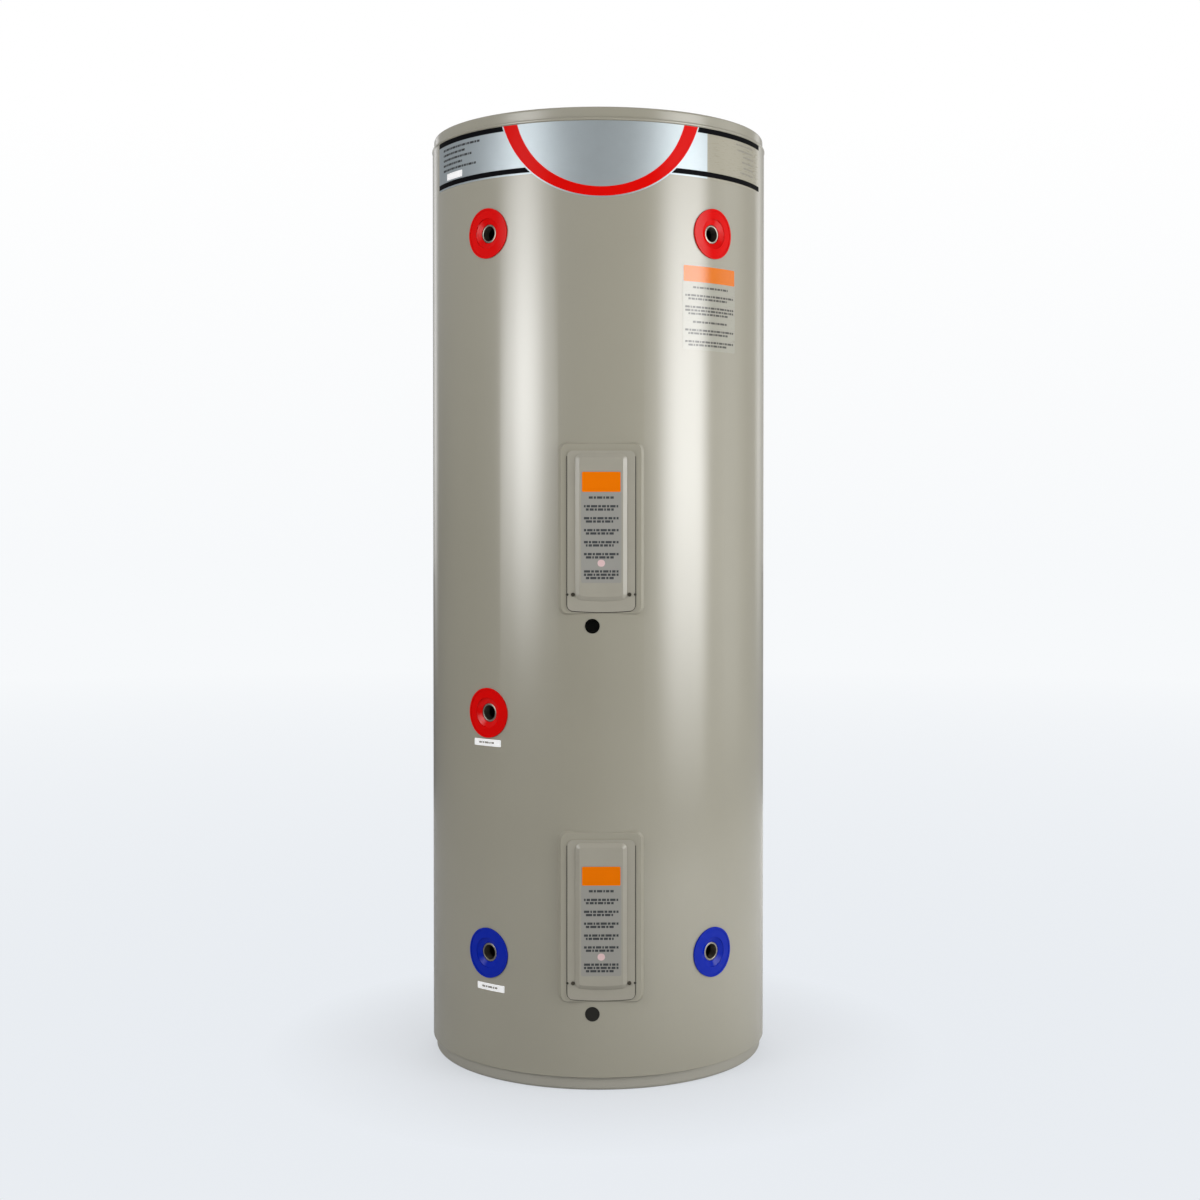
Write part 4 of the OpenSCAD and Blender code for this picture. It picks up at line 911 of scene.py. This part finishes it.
# %% Floor
FLOOR_RADIUS = 40.0
FLOOR_GAP = 0.0005      # keeps the floor clear of the heater's foot
bm = bmesh.new()
bmesh.ops.create_circle(bm, cap_ends=True, segments=96, radius=FLOOR_RADIUS)
floor = as_object("studio_floor", bm)
floor.location.z = -FLOOR_GAP
floor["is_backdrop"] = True
material = bpy.data.materials.new("studio_floor")
material.use_nodes = True
tree = material.node_tree
tree.nodes.clear()
output = tree.nodes.new("ShaderNodeOutputMaterial")
where = add(tree, "TexCoord").outputs["Object"]
away = add(tree, "VectorMath", {"operation": "LENGTH"}, i0=where).outputs["Value"]
ray = add(tree, "LightPath").outputs
across = add(tree, "SeparateXYZ", None, i0=where).outputs["X"]
bounce = blend_colour(tree, stretch(tree, across, -0.6, 0.9), grey(0.42),
                      (0.90, 0.90, 0.88, 1.0))
pale = blend_colour(tree, ray["Is Camera Ray"], bounce, (0.82, 0.84, 0.87, 1.0))
matt = add(tree, "BsdfDiffuse", None, Color=pale)
shown = blend_colour(tree, stretch(tree, away, 0.5, 9.0), paint_code(232, 236, 241), HORIZON)
glow = add(tree, "Emission", None, Color=shown, Strength=1.0)
share = math_node(tree, "MULTIPLY", straight_ray(tree, ray),
                  stretch(tree, away, 0.30, 0.65, 0.60, 1.0))
mixed = add(tree, "MixShader", None, i0=share, i1=matt.outputs[0], i2=glow.outputs[0])
tree.links.new(mixed.outputs[0], output.inputs["Surface"])
dress(floor, material)
print("floor made")


# %% [markdown]
# ## Lamps
# Two tall soft boxes draw the long highlights down the paint, one on each side of
# the camera. A lamp of one even strength would give them hard edges, so each fades
# in from its sides, its foot and its head. A high fill at the left, one at
# the back and a small one straight above the lid only light the paint and stay out of
# its reflections. A low wide fill at the right and two dim lamps at the back keep the
# far side readable.

# %% Soft boxes
def fade(tree, value, low, high):
    """A smooth rise from 0 at low to 1 at high."""
    return add(tree, "MapRange", {"interpolation_type": "SMOOTHSTEP"}, Value=value,
               i1=low, i2=high).outputs[0]


def soft_box(name, turn, distance, low, high, width, brightness,
             inner=0.5, outer=0.5, foot=0.5, head=0.01):
    """A tall area lamp at an angle from the front, between two heights. inner, outer,
    foot and head say how much of its size it takes to fade in from each edge."""
    lamp = bpy.data.lights.new(name, "AREA")
    lamp.shape = "RECTANGLE"
    lamp.size, lamp.size_y = width, high - low
    lamp.energy = brightness * math.pi * lamp.size * lamp.size_y
    lamp.use_nodes = True
    tree = lamp.node_tree
    across = add(tree, "SeparateXYZ", None,
                 i0=add(tree, "NewGeometry").outputs["Parametric"]).outputs
    sides = math_node(tree, "MULTIPLY", fade(tree, across["X"], 0.0, inner),
                      fade(tree, across["X"], 1.0, 1.0 - outer))
    ends = math_node(tree, "MULTIPLY", fade(tree, across["Y"], 0.0, foot),
                     fade(tree, across["Y"], 1.0, 1.0 - head))
    tree.links.new(math_node(tree, "MULTIPLY", sides, ends),
                   tree.nodes["Emission"].inputs["Strength"])
    holder = bpy.data.objects.new(name, lamp)
    bpy.context.scene.collection.objects.link(holder)
    a = math.radians(turn)
    holder.location = (distance * math.sin(a), -distance * math.cos(a), (low + high) / 2)
    holder.rotation_euler = (math.pi / 2, 0.0, a)
    return holder


soft_box("left_box", -48.5, 2.6, 0.38, 3.0, 2.15, 7.3, foot=0.46, head=0.8)
soft_box("right_box", 54.7, 2.6, 0.0, 3.0, 2.30, 5.2, inner=0.46, outer=0.30, foot=0.40, head=0.55)
EVEN = dict(inner=0.2, outer=0.2, foot=0.2)
high_fill = soft_box("high_fill", -38, 3.6, 1.8, 3.4, 4.4, 1.05, **EVEN)
soft_box("right_fill", 95, 3.0, 0.0, 3.0, 2.6, 0.5, foot=0.2)
back_fill = soft_box("back_fill", 180, 3.2, 0.4, 3.0, 2.6, 3.0, **EVEN)
lid_fill = soft_box("lid_fill", 0, 0.0, 2.5, 3.0, 0.5, 6.5, **EVEN)
lid_fill.rotation_euler = (0.0, 0.0, 0.0)       # straight down
for lamp in (high_fill, back_fill, lid_fill):
    lamp.visible_glossy = False
soft_box("back_left", -150, 3.4, 0.2, 2.6, 1.2, 0.8)
soft_box("back_right", 140, 3.4, 0.2, 2.6, 1.4, 0.7)

# %% [markdown]
# ## Check the size and finish
# The look must not change the heater's size, so the growth of the visual box over the solid one is
# printed.

# %% Boxes and finish
bpy.context.scene.view_settings.view_transform = "Standard"
seen_low, seen_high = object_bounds()
growth = (seen_high - seen_low) - (cad_high - cad_low)
print("visual box grew by", [round(v, 5) for v in growth])
